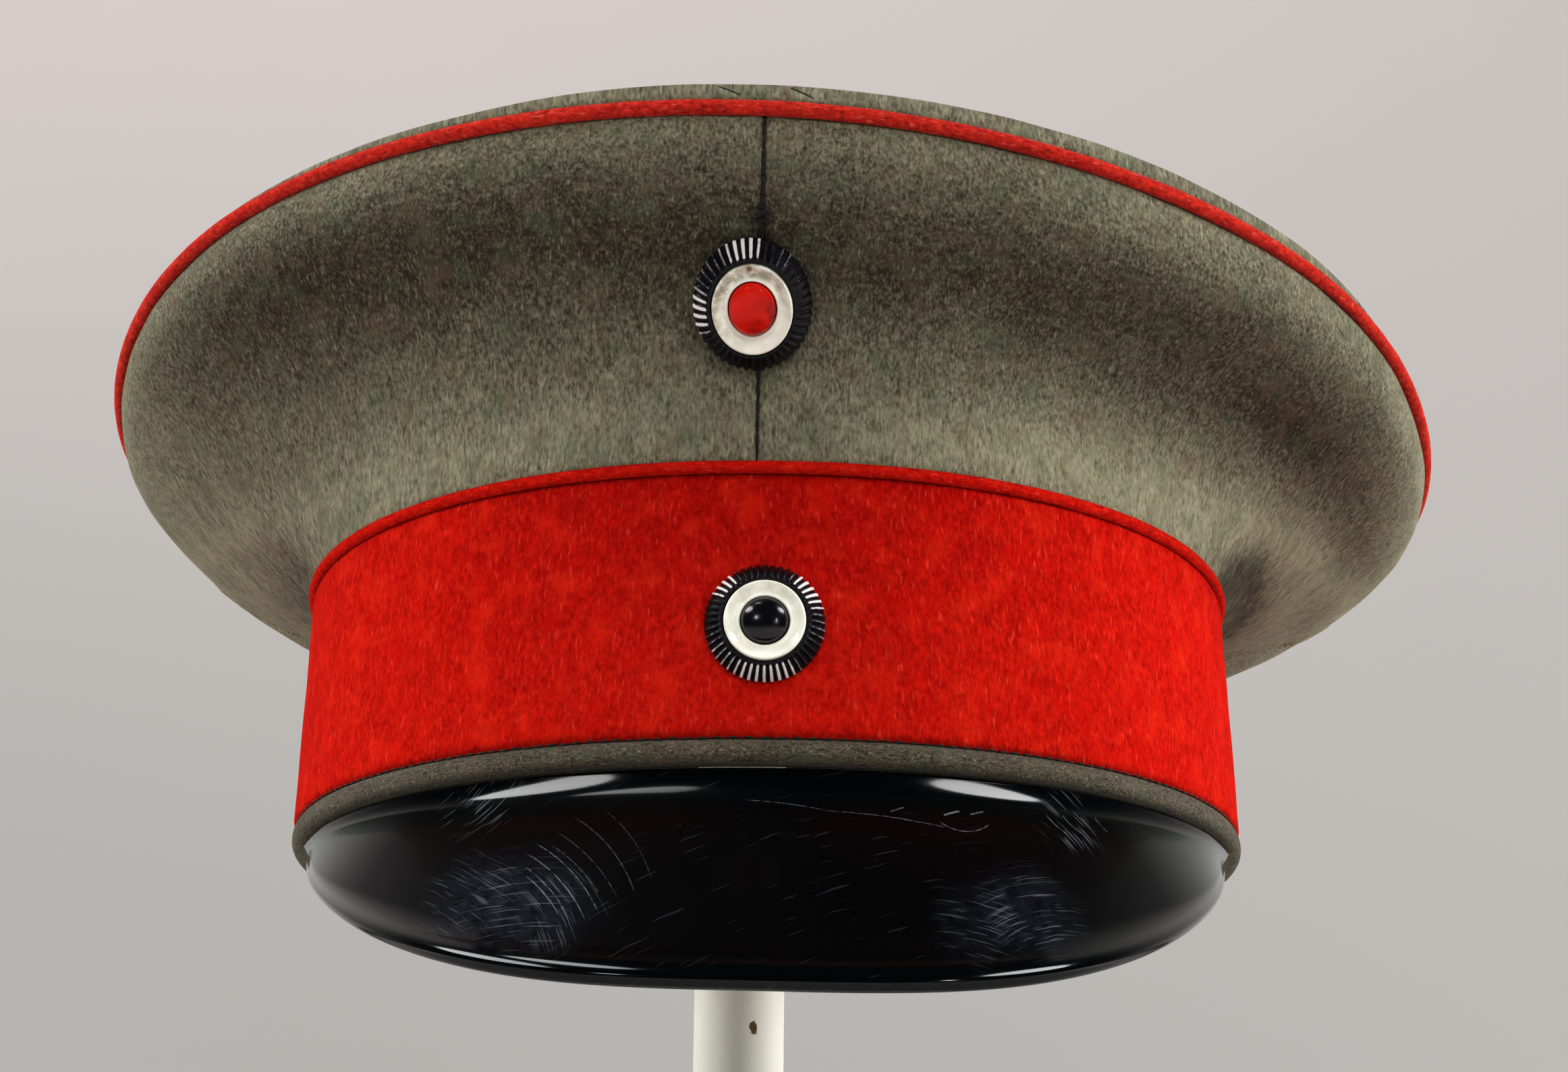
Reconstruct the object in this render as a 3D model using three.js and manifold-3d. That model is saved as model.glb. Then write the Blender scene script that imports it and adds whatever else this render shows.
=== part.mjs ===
// A cloth visor cap on a plain display stand, in millimetres.
// The stand's axis is Z and its foot stands on z = 0. The cap faces -Y, and +X is to the right of someone
// who looks at its front. The cap is modelled in a frame of its own: z = 0 is the lower edge of its band and
// the middle of the head opening is on its axis. capFrame then sets it on the stand.
import * as THREE from "three";
import Module from "manifold-3d";
import { mergeVertices } from "three/addons/utils/BufferGeometryUtils.js";

const wasm = await Module();
wasm.setup();

// ---- driving dimensions ----

const GAP = 0.3; // between pieces that lie on each other
const SEAM_HALF_GAP = 0.1; // in degrees round the cap, half of a seam between two edges of cloth

// Head opening: a rounded oval, half width by half length, a little squarer than an ellipse.
const OVAL_POWER = 2.1;
const BAND_LOW = { halfWidth: 89.0, halfLength: 105.0 };
const BAND_HIGH = { halfWidth: 87.4, halfLength: 103.6 };
const BAND_LEAN = -0.4; // how far the upper edge lies off the middle, in X
const BAND_TOP = 46.9;
const BAND_WALL = 1.6;
const BODY_WALL = 1.3;
// The grey edge that shows below the red band, with its corners rolled.
const EDGE = { height: 3.9, roll: 1, rollDepth: 0.7 };

const BAND_CORD = { radius: 1.25, height: 48.5, inset: 0.1 };
const CROWN_FOOT = { halfWidth: 87.2, halfLength: 103.4, height: 50.05 };
const CROWN_WALL = 2.0;
const RIM = { halfWidth: 127.3, front: 130, back: 128 };
const RIM_CORD_RADIUS = 1.15;
const RIM_CLEARANCE = RIM_CORD_RADIUS + GAP;

// The crown's side in section, one row for each direction round the cap. rim is the height of the rim cord.
// rise is the angle at which the cloth leaves the band, 90 being straight up, and lip its angle at the rim.
// foot and top say how far each of those two directions holds. roll is the height of the top's rolled edge
// above the cord. The side hangs lower and fuller on +X.
const CROWN_ROWS = [
  { azimuth: -180, rim: 66.0, rise: 18, lip: 92, foot: 20, top: 12, roll: 4.2 },
  { azimuth: -135, rim: 74.5, rise: 6, lip: 86, foot: 27, top: 12, roll: 3.6 },
  { azimuth: -90, rim: 82.1, rise: 36, lip: 88, foot: 25, top: 13, roll: 3.1 },
  { azimuth: -45, rim: 96.4, rise: 91, lip: 110, foot: 34, top: 16, roll: 3.7 },
  { azimuth: 0, rim: 98.7, rise: 94, lip: 96, foot: 32, top: 19, roll: 5.8 },
  { azimuth: 45, rim: 88.6, rise: 98, lip: 105, foot: 34, top: 23, roll: 6.2 },
  { azimuth: 90, rim: 71.6, rise: 28, lip: 83, foot: 26, top: 12, roll: 4.4 },
  { azimuth: 135, rim: 71.0, rise: 4, lip: 88, foot: 28, top: 13, roll: 4.0 },
];

// The crown's top in section, from the rim to the middle. roll is a share of the rolled edge's height, and
// lift is the dome above the rim's slanting plane.
const TOP_ROWS = [
  { inward: 0.0, roll: 0.0, lift: 0.0 },
  { inward: 0.006, roll: 0.55, lift: 0.0 },
  { inward: 0.016, roll: 0.92, lift: 0.0 },
  { inward: 0.045, roll: 1.05, lift: 0.0 },
  { inward: 0.12, roll: 0.9, lift: 0.2 },
  { inward: 0.3, roll: 0.5, lift: 0.9 },
  { inward: 0.6, roll: 0.12, lift: 2.4 },
  { inward: 1.0, roll: 0.0, lift: 3.4 },
];
const TOP_PLANE = { middle: 82.2, slopeX: -0.043, slopeY: -0.127 };

// The crown's side is four panels. Each seam runs from its azimuth at the band to its azimuth at the rim.
const SEAMS = [
  { foot: -180, rim: -180 },
  { foot: -108, rim: -106 },
  { foot: -0.75, rim: -0.4 },
  { foot: 108, rim: 106 },
  { foot: 180, rim: 180 },
];
const PANELS = ["crown_left_back", "crown_left_front", "crown_right_front", "crown_right_back"];

// Visor: sewn under the band between two corners, with its lower edge on a space curve.
const VISOR = {
  corner: 74, // azimuth of the corner
  top: -0.4,
  wall: 2.2,
  inset: 2, // from the band's outer line to the visor's upper edge
  flange: 3.4, // sewn strip under the band
  edgeInset: 2, // from the upper edge's corner to the lower edge's
  edgeTop: -3.4,
  edgeFront: -132,
  edgeDrop: -38.2,
  edgeSkew: -0.014, // the edge hangs lower on +X
  sidePower: 0.64, // how soon the edge swings out, forward and down from its corner
  frontPower: 1.4,
  dropPower: 1.5,
};
// The visor in section, off the straight line from the band, 0, to the edge, 1: it first drops steeply.
const VISOR_ROWS = [
  { down: 0, off: 0 },
  { down: 0.04, off: -0.78 },
  { down: 0.09, off: -1.32 },
  { down: 0.16, off: -1.32 },
  { down: 0.33, off: -0.5 },
  { down: 0.5, off: 0.05 },
  { down: 0.7, off: 0.55 },
  { down: 0.9, off: 1 },
  { down: 1, off: 0 },
];

// Cockades: a fluted black rim, a white dished ring and a domed boss, held by a split pin through the cloth.
const COCKADE = {
  radius: 9.6,
  flutes: 44,
  fluteDepth: 0.38,
  plate: 0.8, // thickness of the rim inside its collar
  collar: 2.3,
  ringRadius: 6.6,
  ringHeight: 1.6,
  dish: 0.6, // how far the white ring sinks towards the boss
  bossRadius: 3.8,
  bossWall: 1.3,
};
// The dome of a boss, as shares of its radius and heights above its foot.
const BOSS_ROWS = [
  { out: 1, up: 1.1 },
  { out: 0.85, up: 1.8 },
  { out: 0.5, up: 2.4 },
  { out: 0, up: 2.6 },
];
// tall is a cockade's height over its width, seat its stand-off from the curved cloth, and behind is how far
// back the pin's legs lie.
const COCKADES = [
  { name: "upper_cockade", x: -1.75, height: 75.2, tall: 1.2, seat: 2.7, behind: 2.9, boss: "enamelRed" },
  { name: "lower_cockade", x: 0, height: 22.2, tall: 1, seat: 0.5, behind: 4.0, boss: "enamelBlack" },
];
const PIN = { width: 2, head: 1.6, headDepth: 0.6, shank: 0.9, leg: 6, legDepth: 0.7, slotDepth: 14 };

const STAND = {
  capX: 5, // the middle of the cap from the post's axis
  capHeight: 240,
  postRadius: 8.5,
  headRadius: 45,
  headDepth: 13,
  headDome: 7.8, // how far the head's top falls to its edge
  headDrop: 3, // of the head's top below the crown's top
  baseRadius: 95,
  baseHeight: 15,
  baseFoot: 1.5, // chamfer where the base stands
  baseSlope: 4, // chamfer round its upper edge
  hubHeight: 23,
  hubWall: 6,
  hubFlare: 3,
  socket: 8,
};

const AZIMUTH_STEPS = 56;

// ---- materials ----

const material = (color, roughness, metalness = 0) =>
  new THREE.MeshStandardMaterial({ color, roughness, metalness });
const materials = {
  greyWool: material(0x6f6857, 0.95),
  redWool: material(0xc8170f, 0.95),
  redCord: material(0xb3201b, 0.9),
  lacquer: material(0x08090a, 0.18),
  enamelBlack: material(0x0b0c14, 0.3),
  enamelWhite: material(0xe6e2cf, 0.4),
  enamelRed: material(0xcf2d17, 0.35),
  steel: material(0x8a8a86, 0.4, 1),
  whitePaint: material(0xd8d8cc, 0.5),
};

// ---- curves and sections ----

const radians = THREE.MathUtils.degToRad;
const signedPower = (value, power) => Math.sign(value) * Math.abs(value) ** power;

// A point of a rounded oval at an azimuth in degrees: 0 is the front, -Y, and 90 is +X.
function ovalPoint(azimuth, { halfWidth, halfLength }) {
  const turn = radians(azimuth);
  return new THREE.Vector2(
    halfWidth * signedPower(Math.sin(turn), 2 / OVAL_POWER),
    -halfLength * signedPower(Math.cos(turn), 2 / OVAL_POWER),
  );
}

const shrunk = ({ halfWidth, halfLength }, by) => ({
  halfWidth: halfWidth - by,
  halfLength: halfLength - by,
});

function rimPoint(azimuth) {
  const turn = radians(azimuth);
  const halfLength = Math.cos(turn) > 0 ? RIM.front : RIM.back;
  return new THREE.Vector2(RIM.halfWidth * Math.sin(turn), -halfLength * Math.cos(turn));
}

// A column of CROWN_ROWS at any azimuth, smoothly through the rows and round the cap.
function crownValue(azimuth, column) {
  const count = CROWN_ROWS.length;
  const place = (((azimuth + 180) % 360) + 360) % 360 / (360 / count);
  const index = Math.floor(place) % count;
  const t = place - Math.floor(place);
  const [a, b, c, d] = [-1, 0, 1, 2].map((k) => CROWN_ROWS[(index + k + count) % count][column]);
  return b + 0.5 * t * (c - a + t * (2 * a - 5 * b + 4 * c - d + t * (3 * (b - c) + d - a)));
}

// The outer face of the crown's side: along runs from the band, 0, to the rim, 1.
function crownFace(azimuth, along) {
  const foot = ovalPoint(azimuth, CROWN_FOOT);
  foot.x += BAND_LEAN;
  const out = rimPoint(azimuth).sub(foot);
  const reach = out.length();
  out.normalize();
  const rise = radians(crownValue(azimuth, "rise"));
  const lip = radians(crownValue(azimuth, "lip"));
  const footHold = crownValue(azimuth, "foot");
  const topHold = crownValue(azimuth, "top");
  const start = new THREE.Vector2(0, CROWN_FOOT.height);
  const end = new THREE.Vector2(reach - GAP, crownValue(azimuth, "rim") - RIM_CLEARANCE);
  const section = new THREE.CubicBezierCurve(
    start,
    new THREE.Vector2(start.x + footHold * Math.cos(rise), start.y + footHold * Math.sin(rise)),
    new THREE.Vector2(end.x - topHold * Math.cos(lip), end.y - topHold * Math.sin(lip)),
    end,
  );
  const point = section.getPoint(along);
  return new THREE.Vector3(foot.x + out.x * point.x, foot.y + out.y * point.x, point.y);
}

// A point of a face moved along the face's own normal.
function offsetPoint(face, u, v, distance, stepU) {
  const stepV = 0.01;
  const alongU = face(u + stepU, v).sub(face(u - stepU, v));
  const alongV = face(u, Math.min(1, v + stepV)).sub(face(u, Math.max(0, v - stepV)));
  return face(u, v).addScaledVector(alongU.cross(alongV).normalize(), distance);
}

const crownSkin = (azimuth, along, depth) => offsetPoint(crownFace, azimuth, along, -depth, 0.2);

// ---- solids from sections ----

// A closed body through rings of points, each ring one section. A closed loft joins its last ring to its
// first. An open one is capped by a ladder of faces across each end ring.
function loft(rings, closed) {
  const size = rings[0].length;
  const positions = rings.flat().flatMap((point) => point.toArray());
  const faces = [];
  const quad = (a, b, c, d) => faces.push(a, b, c, a, c, d);
  const spans = closed ? rings.length : rings.length - 1;
  for (let ring = 0; ring < spans; ring++) {
    const here = ring * size;
    const next = ((ring + 1) % rings.length) * size;
    for (let k = 0; k < size; k++) {
      const after = (k + 1) % size;
      quad(here + k, here + after, next + after, next + k);
    }
  }
  if (!closed) {
    const last = (rings.length - 1) * size;
    for (let k = 0; k < size / 2 - 1; k++) {
      const far = size - 1 - k;
      quad(k, far, far - 1, k + 1);
      quad(last + k, last + k + 1, last + far - 1, last + far);
    }
  }
  const geometry = new THREE.BufferGeometry();
  geometry.setAttribute("position", new THREE.Float32BufferAttribute(positions, 3));
  geometry.setIndex(faces);
  return facingOut(geometry);
}

// Turns every face round if the body is inside out.
function facingOut(geometry) {
  const position = geometry.attributes.position;
  const index = geometry.index.array;
  const [a, b, c] = [0, 1, 2].map(() => new THREE.Vector3());
  let volume = 0;
  for (let k = 0; k < index.length; k += 3) {
    a.fromBufferAttribute(position, index[k]);
    b.fromBufferAttribute(position, index[k + 1]);
    c.fromBufferAttribute(position, index[k + 2]);
    volume += a.dot(b.cross(c));
  }
  if (volume < 0) {
    for (let k = 0; k < index.length; k += 3) {
      [index[k + 1], index[k + 2]] = [index[k + 2], index[k + 1]];
    }
  }
  return geometry;
}

const steps = (from, to, count) =>
  Array.from({ length: count + 1 }, (_, k) => from + ((to - from) * k) / count);
const aroundOnce = steps(-180, 180, AZIMUTH_STEPS).slice(0, -1);

// A wall between an outer and an inner line of points.
const wallRing = (outer, inner) => [...outer, ...inner.reverse()];

// A round cord round the cap, along the closed line that centre gives for each azimuth.
function cordRound(radius, centre, sides = 6) {
  const rings = aroundOnce.map((azimuth) => {
    const middle = centre(azimuth);
    const out = new THREE.Vector3(middle.x, middle.y, 0).normalize();
    return steps(0, 360, sides)
      .slice(0, -1)
      .map((angle) =>
        middle
          .clone()
          .addScaledVector(out, radius * Math.cos(radians(angle)))
          .add(new THREE.Vector3(0, 0, radius * Math.sin(radians(angle)))),
      );
  });
  return loft(rings, true);
}

// ---- booleans ----

function solidOf(geometry) {
  const bare = geometry.clone();
  bare.deleteAttribute("normal");
  bare.deleteAttribute("uv");
  const merged = mergeVertices(bare, 1e-4);
  return new wasm.Manifold(
    new wasm.Mesh({
      numProp: 3,
      vertProperties: new Float32Array(merged.attributes.position.array),
      triVerts: new Uint32Array(merged.index.array),
    }),
  );
}

function geometryOf(solid) {
  const mesh = solid.getMesh();
  const geometry = new THREE.BufferGeometry();
  geometry.setAttribute("position", new THREE.BufferAttribute(mesh.vertProperties, 3));
  geometry.setIndex(new THREE.BufferAttribute(mesh.triVerts, 1));
  return geometry;
}

const cut = (geometry, ...tools) =>
  geometryOf(tools.reduce((solid, tool) => solid.subtract(solidOf(tool)), solidOf(geometry)));

// ---- cap: crown ----

// One side panel between two seams: a curved wall, with its edges finished square.
function crownPanel(from, to) {
  const rings = steps(0, 1, 14).map((across) => {
    const azimuth = (along) => {
      const start = THREE.MathUtils.lerp(from.foot, from.rim, along) + SEAM_HALF_GAP;
      const end = THREE.MathUtils.lerp(to.foot, to.rim, along) - SEAM_HALF_GAP;
      return THREE.MathUtils.lerp(start, end, across);
    };
    const rows = steps(0, 1, 9);
    return wallRing(
      rows.map((along) => crownSkin(azimuth(along), along, 0)),
      rows.map((along) => crownSkin(azimuth(along), along, CROWN_WALL)),
    );
  });
  return loft(rings, false);
}

// The outer face of the top: inward runs from the rim, 0, to the middle, 1.
function topFace(azimuth, inward) {
  const rim = rimPoint(azimuth).multiplyScalar(1 - GAP / RIM.halfWidth);
  const plan = rim.clone().multiplyScalar(1 - inward);
  const plane = ({ x, y }) => TOP_PLANE.middle + TOP_PLANE.slopeX * x + TOP_PLANE.slopeY * y;
  const warp = crownValue(azimuth, "rim") - plane(rim);
  const roll = (crownValue(azimuth, "roll") - RIM_CLEARANCE) * topValue(inward, "roll");
  const rise = RIM_CLEARANCE + roll + topValue(inward, "lift");
  return new THREE.Vector3(plan.x, plan.y, plane(plan) + warp * (1 - inward) ** 2 + rise);
}

// A column of TOP_ROWS, straight between the rows.
function topValue(inward, column) {
  const after = Math.max(1, TOP_ROWS.findIndex((row) => row.inward >= inward));
  const [a, b] = [TOP_ROWS[after - 1], TOP_ROWS[after]];
  return a[column] + ((b[column] - a[column]) * (inward - a.inward)) / (b.inward - a.inward);
}

// The top is one round panel. A small disc closes the middle, where its sections would meet in a point.
function crownTop() {
  const middle = 0.96;
  const upper = [...TOP_ROWS.slice(0, -1).map(({ inward }) => inward), middle];
  const lower = [0.025, 0.12, 0.4, middle];
  const drop = (azimuth, inward) => topFace(azimuth, inward).sub(new THREE.Vector3(0, 0, CROWN_WALL));
  const edge = (azimuth) => {
    const { x, y } = rimPoint(azimuth).multiplyScalar(1 - CROWN_WALL / RIM.halfWidth);
    return new THREE.Vector3(x, y, topFace(azimuth, 0).z);
  };
  const rings = aroundOnce.map((azimuth) =>
    wallRing(
      upper.map((inward) => topFace(azimuth, inward)),
      [edge(azimuth), ...lower.map((inward) => drop(azimuth, inward))],
    ),
  );
  const radius = RIM.halfWidth * (1 - middle) * 1.3;
  const disc = new THREE.CylinderGeometry(radius, radius, CROWN_WALL * 0.8, 16);
  const height = topFace(0, middle).z + topFace(180, middle).z;
  disc.rotateX(Math.PI / 2).translate(0, 0, height / 2 - CROWN_WALL / 2);
  return geometryOf(solidOf(loft(rings, true)).add(solidOf(disc)));
}

const crownCord = () =>
  cordRound(RIM_CORD_RADIUS, (azimuth) => {
    const { x, y } = rimPoint(azimuth);
    return new THREE.Vector3(x, y, crownValue(azimuth, "rim"));
  });

// ---- cap: band ----

const bandCord = () =>
  cordRound(BAND_CORD.radius, (azimuth) => {
    const { x, y } = ovalPoint(azimuth, shrunk(BAND_HIGH, BAND_CORD.inset));
    return new THREE.Vector3(x + BAND_LEAN, y, BAND_CORD.height);
  });

// The band's outer line narrows from its lower to its upper edge.
function bandLine(azimuth, height, depth) {
  const t = height / BAND_TOP;
  const oval = {
    halfWidth: THREE.MathUtils.lerp(BAND_LOW.halfWidth, BAND_HIGH.halfWidth, t) - depth,
    halfLength: THREE.MathUtils.lerp(BAND_LOW.halfLength, BAND_HIGH.halfLength, t) - depth,
  };
  const { x, y } = ovalPoint(azimuth, oval);
  return new THREE.Vector3(x + BAND_LEAN * t, y, height);
}

// The red band is one strip, joined at the back in a fine slit.
function redBand() {
  const heights = [EDGE.height + GAP, BAND_TOP / 2, BAND_TOP];
  const rings = steps(-180 + SEAM_HALF_GAP, 180 - SEAM_HALF_GAP, AZIMUTH_STEPS).map((azimuth) =>
    wallRing(
      heights.map((height) => bandLine(azimuth, height, 0)),
      heights.map((height) => bandLine(azimuth, height, BAND_WALL)),
    ),
  );
  return loft(rings, false);
}

// The grey body runs behind the red band, and its lower edge is rolled out to show below it.
function bandBody() {
  const { height, roll, rollDepth } = EDGE;
  const outside = BAND_WALL + GAP;
  const inside = outside + BODY_WALL;
  const outline = [
    { up: 0, depth: rollDepth * 2 },
    { up: roll, depth: 0 },
    { up: height - roll, depth: 0 },
    { up: height, depth: rollDepth },
    { up: height, depth: outside },
    { up: BAND_TOP, depth: outside },
    { up: BAND_TOP, depth: inside },
    { up: BAND_TOP / 2, depth: inside },
    { up: 0, depth: inside },
  ];
  const rings = aroundOnce.map((azimuth) => outline.map(({ up, depth }) => bandLine(azimuth, up, depth)));
  return loft(rings, true);
}

// ---- cap: visor ----

// How far the visor's face stands off the straight line from its root to its edge, at a share of its length.
function visorOff(down) {
  const next = Math.max(1, VISOR_ROWS.findIndex((row) => row.down >= down));
  const [above, below] = VISOR_ROWS.slice(next - 1, next + 1);
  return THREE.MathUtils.mapLinear(down, above.down, below.down, above.off, below.off);
}

// The visor's outer face. across runs from corner to corner, -1 to 1, and down runs from the band, 0, to the
// edge, 1.
function visorFace(across, down) {
  const azimuth = across * VISOR.corner;
  const { x, y } = ovalPoint(azimuth, shrunk(BAND_LOW, VISOR.inset));
  const root = new THREE.Vector3(x, y, VISOR.top);
  const corner = ovalPoint(VISOR.corner, shrunk(BAND_LOW, VISOR.inset));
  const turn = (across * Math.PI) / 2;
  const fore = Math.max(0, Math.cos(turn));
  const edge = new THREE.Vector3(
    (corner.x - VISOR.edgeInset) * signedPower(Math.sin(turn), VISOR.sidePower),
    corner.y + (VISOR.edgeFront - corner.y) * fore ** VISOR.frontPower,
    VISOR.edgeTop + (VISOR.edgeDrop - VISOR.edgeTop) * fore ** VISOR.dropPower,
  );
  edge.z += VISOR.edgeSkew * edge.x * fore;
  const chord = edge.clone().sub(root);
  const ahead = chord.clone().setZ(0).normalize();
  const out = ahead.multiplyScalar(-chord.z).setZ(Math.hypot(chord.x, chord.y)).normalize();
  return root.addScaledVector(chord, down).addScaledVector(out, visorOff(down) * fore * (2 - fore));
}

// The visor is a curved plate with a level flange along its upper edge.
function visorShell() {
  const rows = VISOR_ROWS.map(({ down }) => down);
  const rings = steps(-1, 1, 36).map((across) => {
    const flange = ovalPoint(across * VISOR.corner, shrunk(BAND_LOW, VISOR.inset + VISOR.flange));
    const onFlange = (height) => new THREE.Vector3(flange.x, flange.y, height);
    const outer = rows.map((down) => visorFace(across, down));
    const inner = rows.map((down) => offsetPoint(visorFace, across, down, VISOR.wall, 0.004));
    inner[0] = onFlange(VISOR.top - VISOR.wall);
    inner.forEach((point) => point.setZ(Math.min(point.z, inner[0].z)));
    return wallRing([onFlange(VISOR.top), ...outer], inner);
  });
  return loft(rings, false);
}

// ---- cap: cockades ----

// The frame of a cockade: its origin on the cloth, +Z away from it and +Y up.
function cockadeFrame({ x, height }) {
  const onBand = height < BAND_TOP;
  const halfWidth = onBand ? BAND_LOW.halfWidth : CROWN_FOOT.halfWidth;
  const azimuth = THREE.MathUtils.radToDeg(Math.asin(x / halfWidth));
  let point, normal;
  if (onBand) {
    point = bandLine(azimuth, height, 0);
    normal = point.clone().sub(bandLine(azimuth, height, 1)).setZ(0.01).normalize();
  } else {
    let along = 0.5;
    for (let step = 0.25; step > 1e-4; step /= 2) {
      along += crownFace(azimuth, along).z < height ? step : -step;
    }
    point = crownFace(azimuth, along);
    normal = point.clone().sub(crownSkin(azimuth, along, 1)).normalize();
  }
  const side = new THREE.Vector3(0, 0, 1).cross(normal).normalize();
  const up = normal.clone().cross(side);
  return new THREE.Matrix4().makeBasis(side, up, normal).setPosition(point);
}

// A loop of flat sections about +Z. section gives the [radius, height] points of each one by its number.
function swept(count, section, tall) {
  const rings = steps(0, 2 * Math.PI, count)
    .slice(0, -1)
    .map((turn, k) =>
      section(k).map(([r, z]) => new THREE.Vector3(r * Math.cos(turn), r * Math.sin(turn) * tall, z)),
    );
  return loft(rings, true);
}

// The rim: a plate with a raised collar, whose slope is pressed into fine radial flutes. The pin's slot goes
// through its middle.
function cockadeRim(tall, seat) {
  const { radius, flutes, fluteDepth, plate, collar, ringRadius, bossRadius } = COCKADE;
  const inner = bossRadius / 2;
  const fluted = (k) => {
    const flute = (k % 2) * fluteDepth;
    return [
      [inner, seat],
      [radius, seat],
      [radius, seat + plate - flute],
      [ringRadius + GAP, seat + collar - flute],
      [ringRadius + GAP, seat + plate],
      [inner, seat + plate],
    ];
  };
  const middle = new THREE.CylinderGeometry(bossRadius, bossRadius, plate, 24);
  middle.rotateX(Math.PI / 2).translate(0, 0, seat + plate / 2);
  const plateAndCollar = solidOf(swept(flutes * 2, fluted, tall)).add(solidOf(middle));
  return geometryOf(plateAndCollar.subtract(solidOf(pinSlot())));
}

// A round piece turned about +Z from a profile of [radius, height] points.
function turned(profile, segments, tall = 1) {
  const open = profile[0][0] === 0 ? profile : [...profile, profile[0]];
  const points = open.map(([r, z]) => new THREE.Vector2(r, z));
  const geometry = new THREE.LatheGeometry(points, segments);
  geometry.rotateX(Math.PI / 2);
  geometry.scale(1, tall, 1);
  geometry.deleteAttribute("normal");
  geometry.deleteAttribute("uv");
  return facingOut(mergeVertices(geometry, 1e-4));
}

// The white ring: a shallow dish on the plate.
function cockadeRing(tall, seat) {
  const { plate, ringRadius, ringHeight, dish, bossRadius } = COCKADE;
  const foot = seat + plate + GAP;
  const inner = bossRadius + GAP;
  return turned(
    [
      [inner, foot],
      [ringRadius, foot],
      [ringRadius, foot + ringHeight - dish],
      [ringRadius - dish, foot + ringHeight],
      [(ringRadius + inner) / 2, foot + ringHeight - dish * 0.8],
      [inner, foot + ringHeight - dish],
    ],
    28,
    tall,
  );
}

// The boss: a hollow dome over the head of the pin.
function cockadeBoss(tall, seat) {
  const { plate, bossRadius, bossWall } = COCKADE;
  const foot = seat + plate + GAP;
  const recess = foot + PIN.headDepth + GAP;
  const inner = bossRadius - bossWall;
  return turned(
    [
      [0, recess],
      [inner, recess],
      [inner, foot],
      [bossRadius, foot],
      ...BOSS_ROWS.map(({ out, up }) => [bossRadius * out, foot + up]),
    ],
    24,
    tall,
  );
}

// The split pin: a flat head under the boss, a shank through plate and cloth, and two legs spread behind.
function cockadePin(seat, behind) {
  const { head, headDepth, shank, leg, legDepth, width } = PIN;
  const under = seat + COCKADE.plate + GAP;
  const half = [
    [head, under + headDepth],
    [head, under],
    [shank, under],
    [shank, -behind],
    [leg, -behind],
    [leg, -behind - legDepth],
  ];
  const outline = [...half, ...half.map(([x, y]) => [-x, y]).reverse()];
  const shape = new THREE.Shape(outline.map(([x, y]) => new THREE.Vector2(x, y)));
  const geometry = new THREE.ExtrudeGeometry(shape, { depth: width, bevelEnabled: false });
  return geometry.translate(0, 0, -width / 2).rotateX(Math.PI / 2);
}

// The slot that a split pin goes through, in the same frame.
const pinSlot = () =>
  new THREE.BoxGeometry(2 * (PIN.shank + GAP), PIN.width + 2 * GAP, PIN.slotDepth);

// ---- stand ----

const headTop = STAND.capHeight + TOP_PLANE.middle + TOP_ROWS.at(-1).lift - STAND.headDrop;
const headLow = headTop - STAND.headDepth;
const boreRadius = STAND.postRadius + GAP;

// The base: a round foot with a hub that the post stands in.
function standBase() {
  const { baseRadius, baseHeight, baseFoot, baseSlope, hubHeight, hubWall, hubFlare, socket } = STAND;
  const floor = hubHeight - socket;
  return turned(
    [
      [0, 0],
      [baseRadius - baseFoot, 0],
      [baseRadius, baseFoot],
      [baseRadius, baseHeight - baseSlope],
      [baseRadius - baseSlope, baseHeight],
      [boreRadius + hubWall + hubFlare, baseHeight],
      [boreRadius + hubWall, hubHeight],
      [boreRadius, hubHeight],
      [boreRadius, floor],
      [0, floor],
    ],
    40,
  );
}

// The head: a shallow dome under the crown's top.
function standHead() {
  const { headRadius, headDome, socket } = STAND;
  const dome = steps(0, Math.PI / 2, 5).map((turn) => [
    headRadius * Math.sin(turn),
    headTop - headDome * (1 - Math.cos(turn)),
  ]);
  return turned(
    [
      ...dome,
      [headRadius - STAND.baseFoot, headLow],
      [boreRadius, headLow],
      [boreRadius, headLow + socket],
      [0, headLow + socket],
    ],
    40,
  );
}

function standPost() {
  const low = STAND.hubHeight - STAND.socket + GAP;
  const high = headLow + STAND.socket - GAP;
  const { postRadius } = STAND;
  const post = new THREE.CylinderGeometry(postRadius, postRadius, high - low, 32);
  return post.rotateX(Math.PI / 2).translate(0, 0, (low + high) / 2);
}

// ---- assembly ----

const group = new THREE.Group();
const capFrame = new THREE.Group();
capFrame.position.set(STAND.capX, 0, STAND.capHeight);
group.add(capFrame);

function addPiece(parent, name, geometry, finish, matrix) {
  const mesh = new THREE.Mesh(geometry, finish);
  mesh.name = name;
  if (matrix) mesh.applyMatrix4(matrix);
  parent.add(mesh);
}

const seats = COCKADES.map((cockade) => ({ ...cockade, frame: cockadeFrame(cockade) }));
const [upperSlot, lowerSlot] = seats.map(({ frame }) => pinSlot().applyMatrix4(frame));

for (const [k, name] of PANELS.entries()) {
  const panel = crownPanel(SEAMS[k], SEAMS[k + 1]);
  const slotted = name.endsWith("front") ? cut(panel, upperSlot) : panel;
  addPiece(capFrame, name, slotted, materials.greyWool);
}
addPiece(capFrame, "crown_top", crownTop(), materials.greyWool);
addPiece(capFrame, "crown_piping", crownCord(), materials.redCord);
addPiece(capFrame, "band_piping", bandCord(), materials.redCord);
addPiece(capFrame, "band", cut(redBand(), lowerSlot), materials.redWool);
addPiece(capFrame, "band_body", cut(bandBody(), lowerSlot), materials.greyWool);
addPiece(capFrame, "visor", visorShell(), materials.lacquer);

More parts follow.
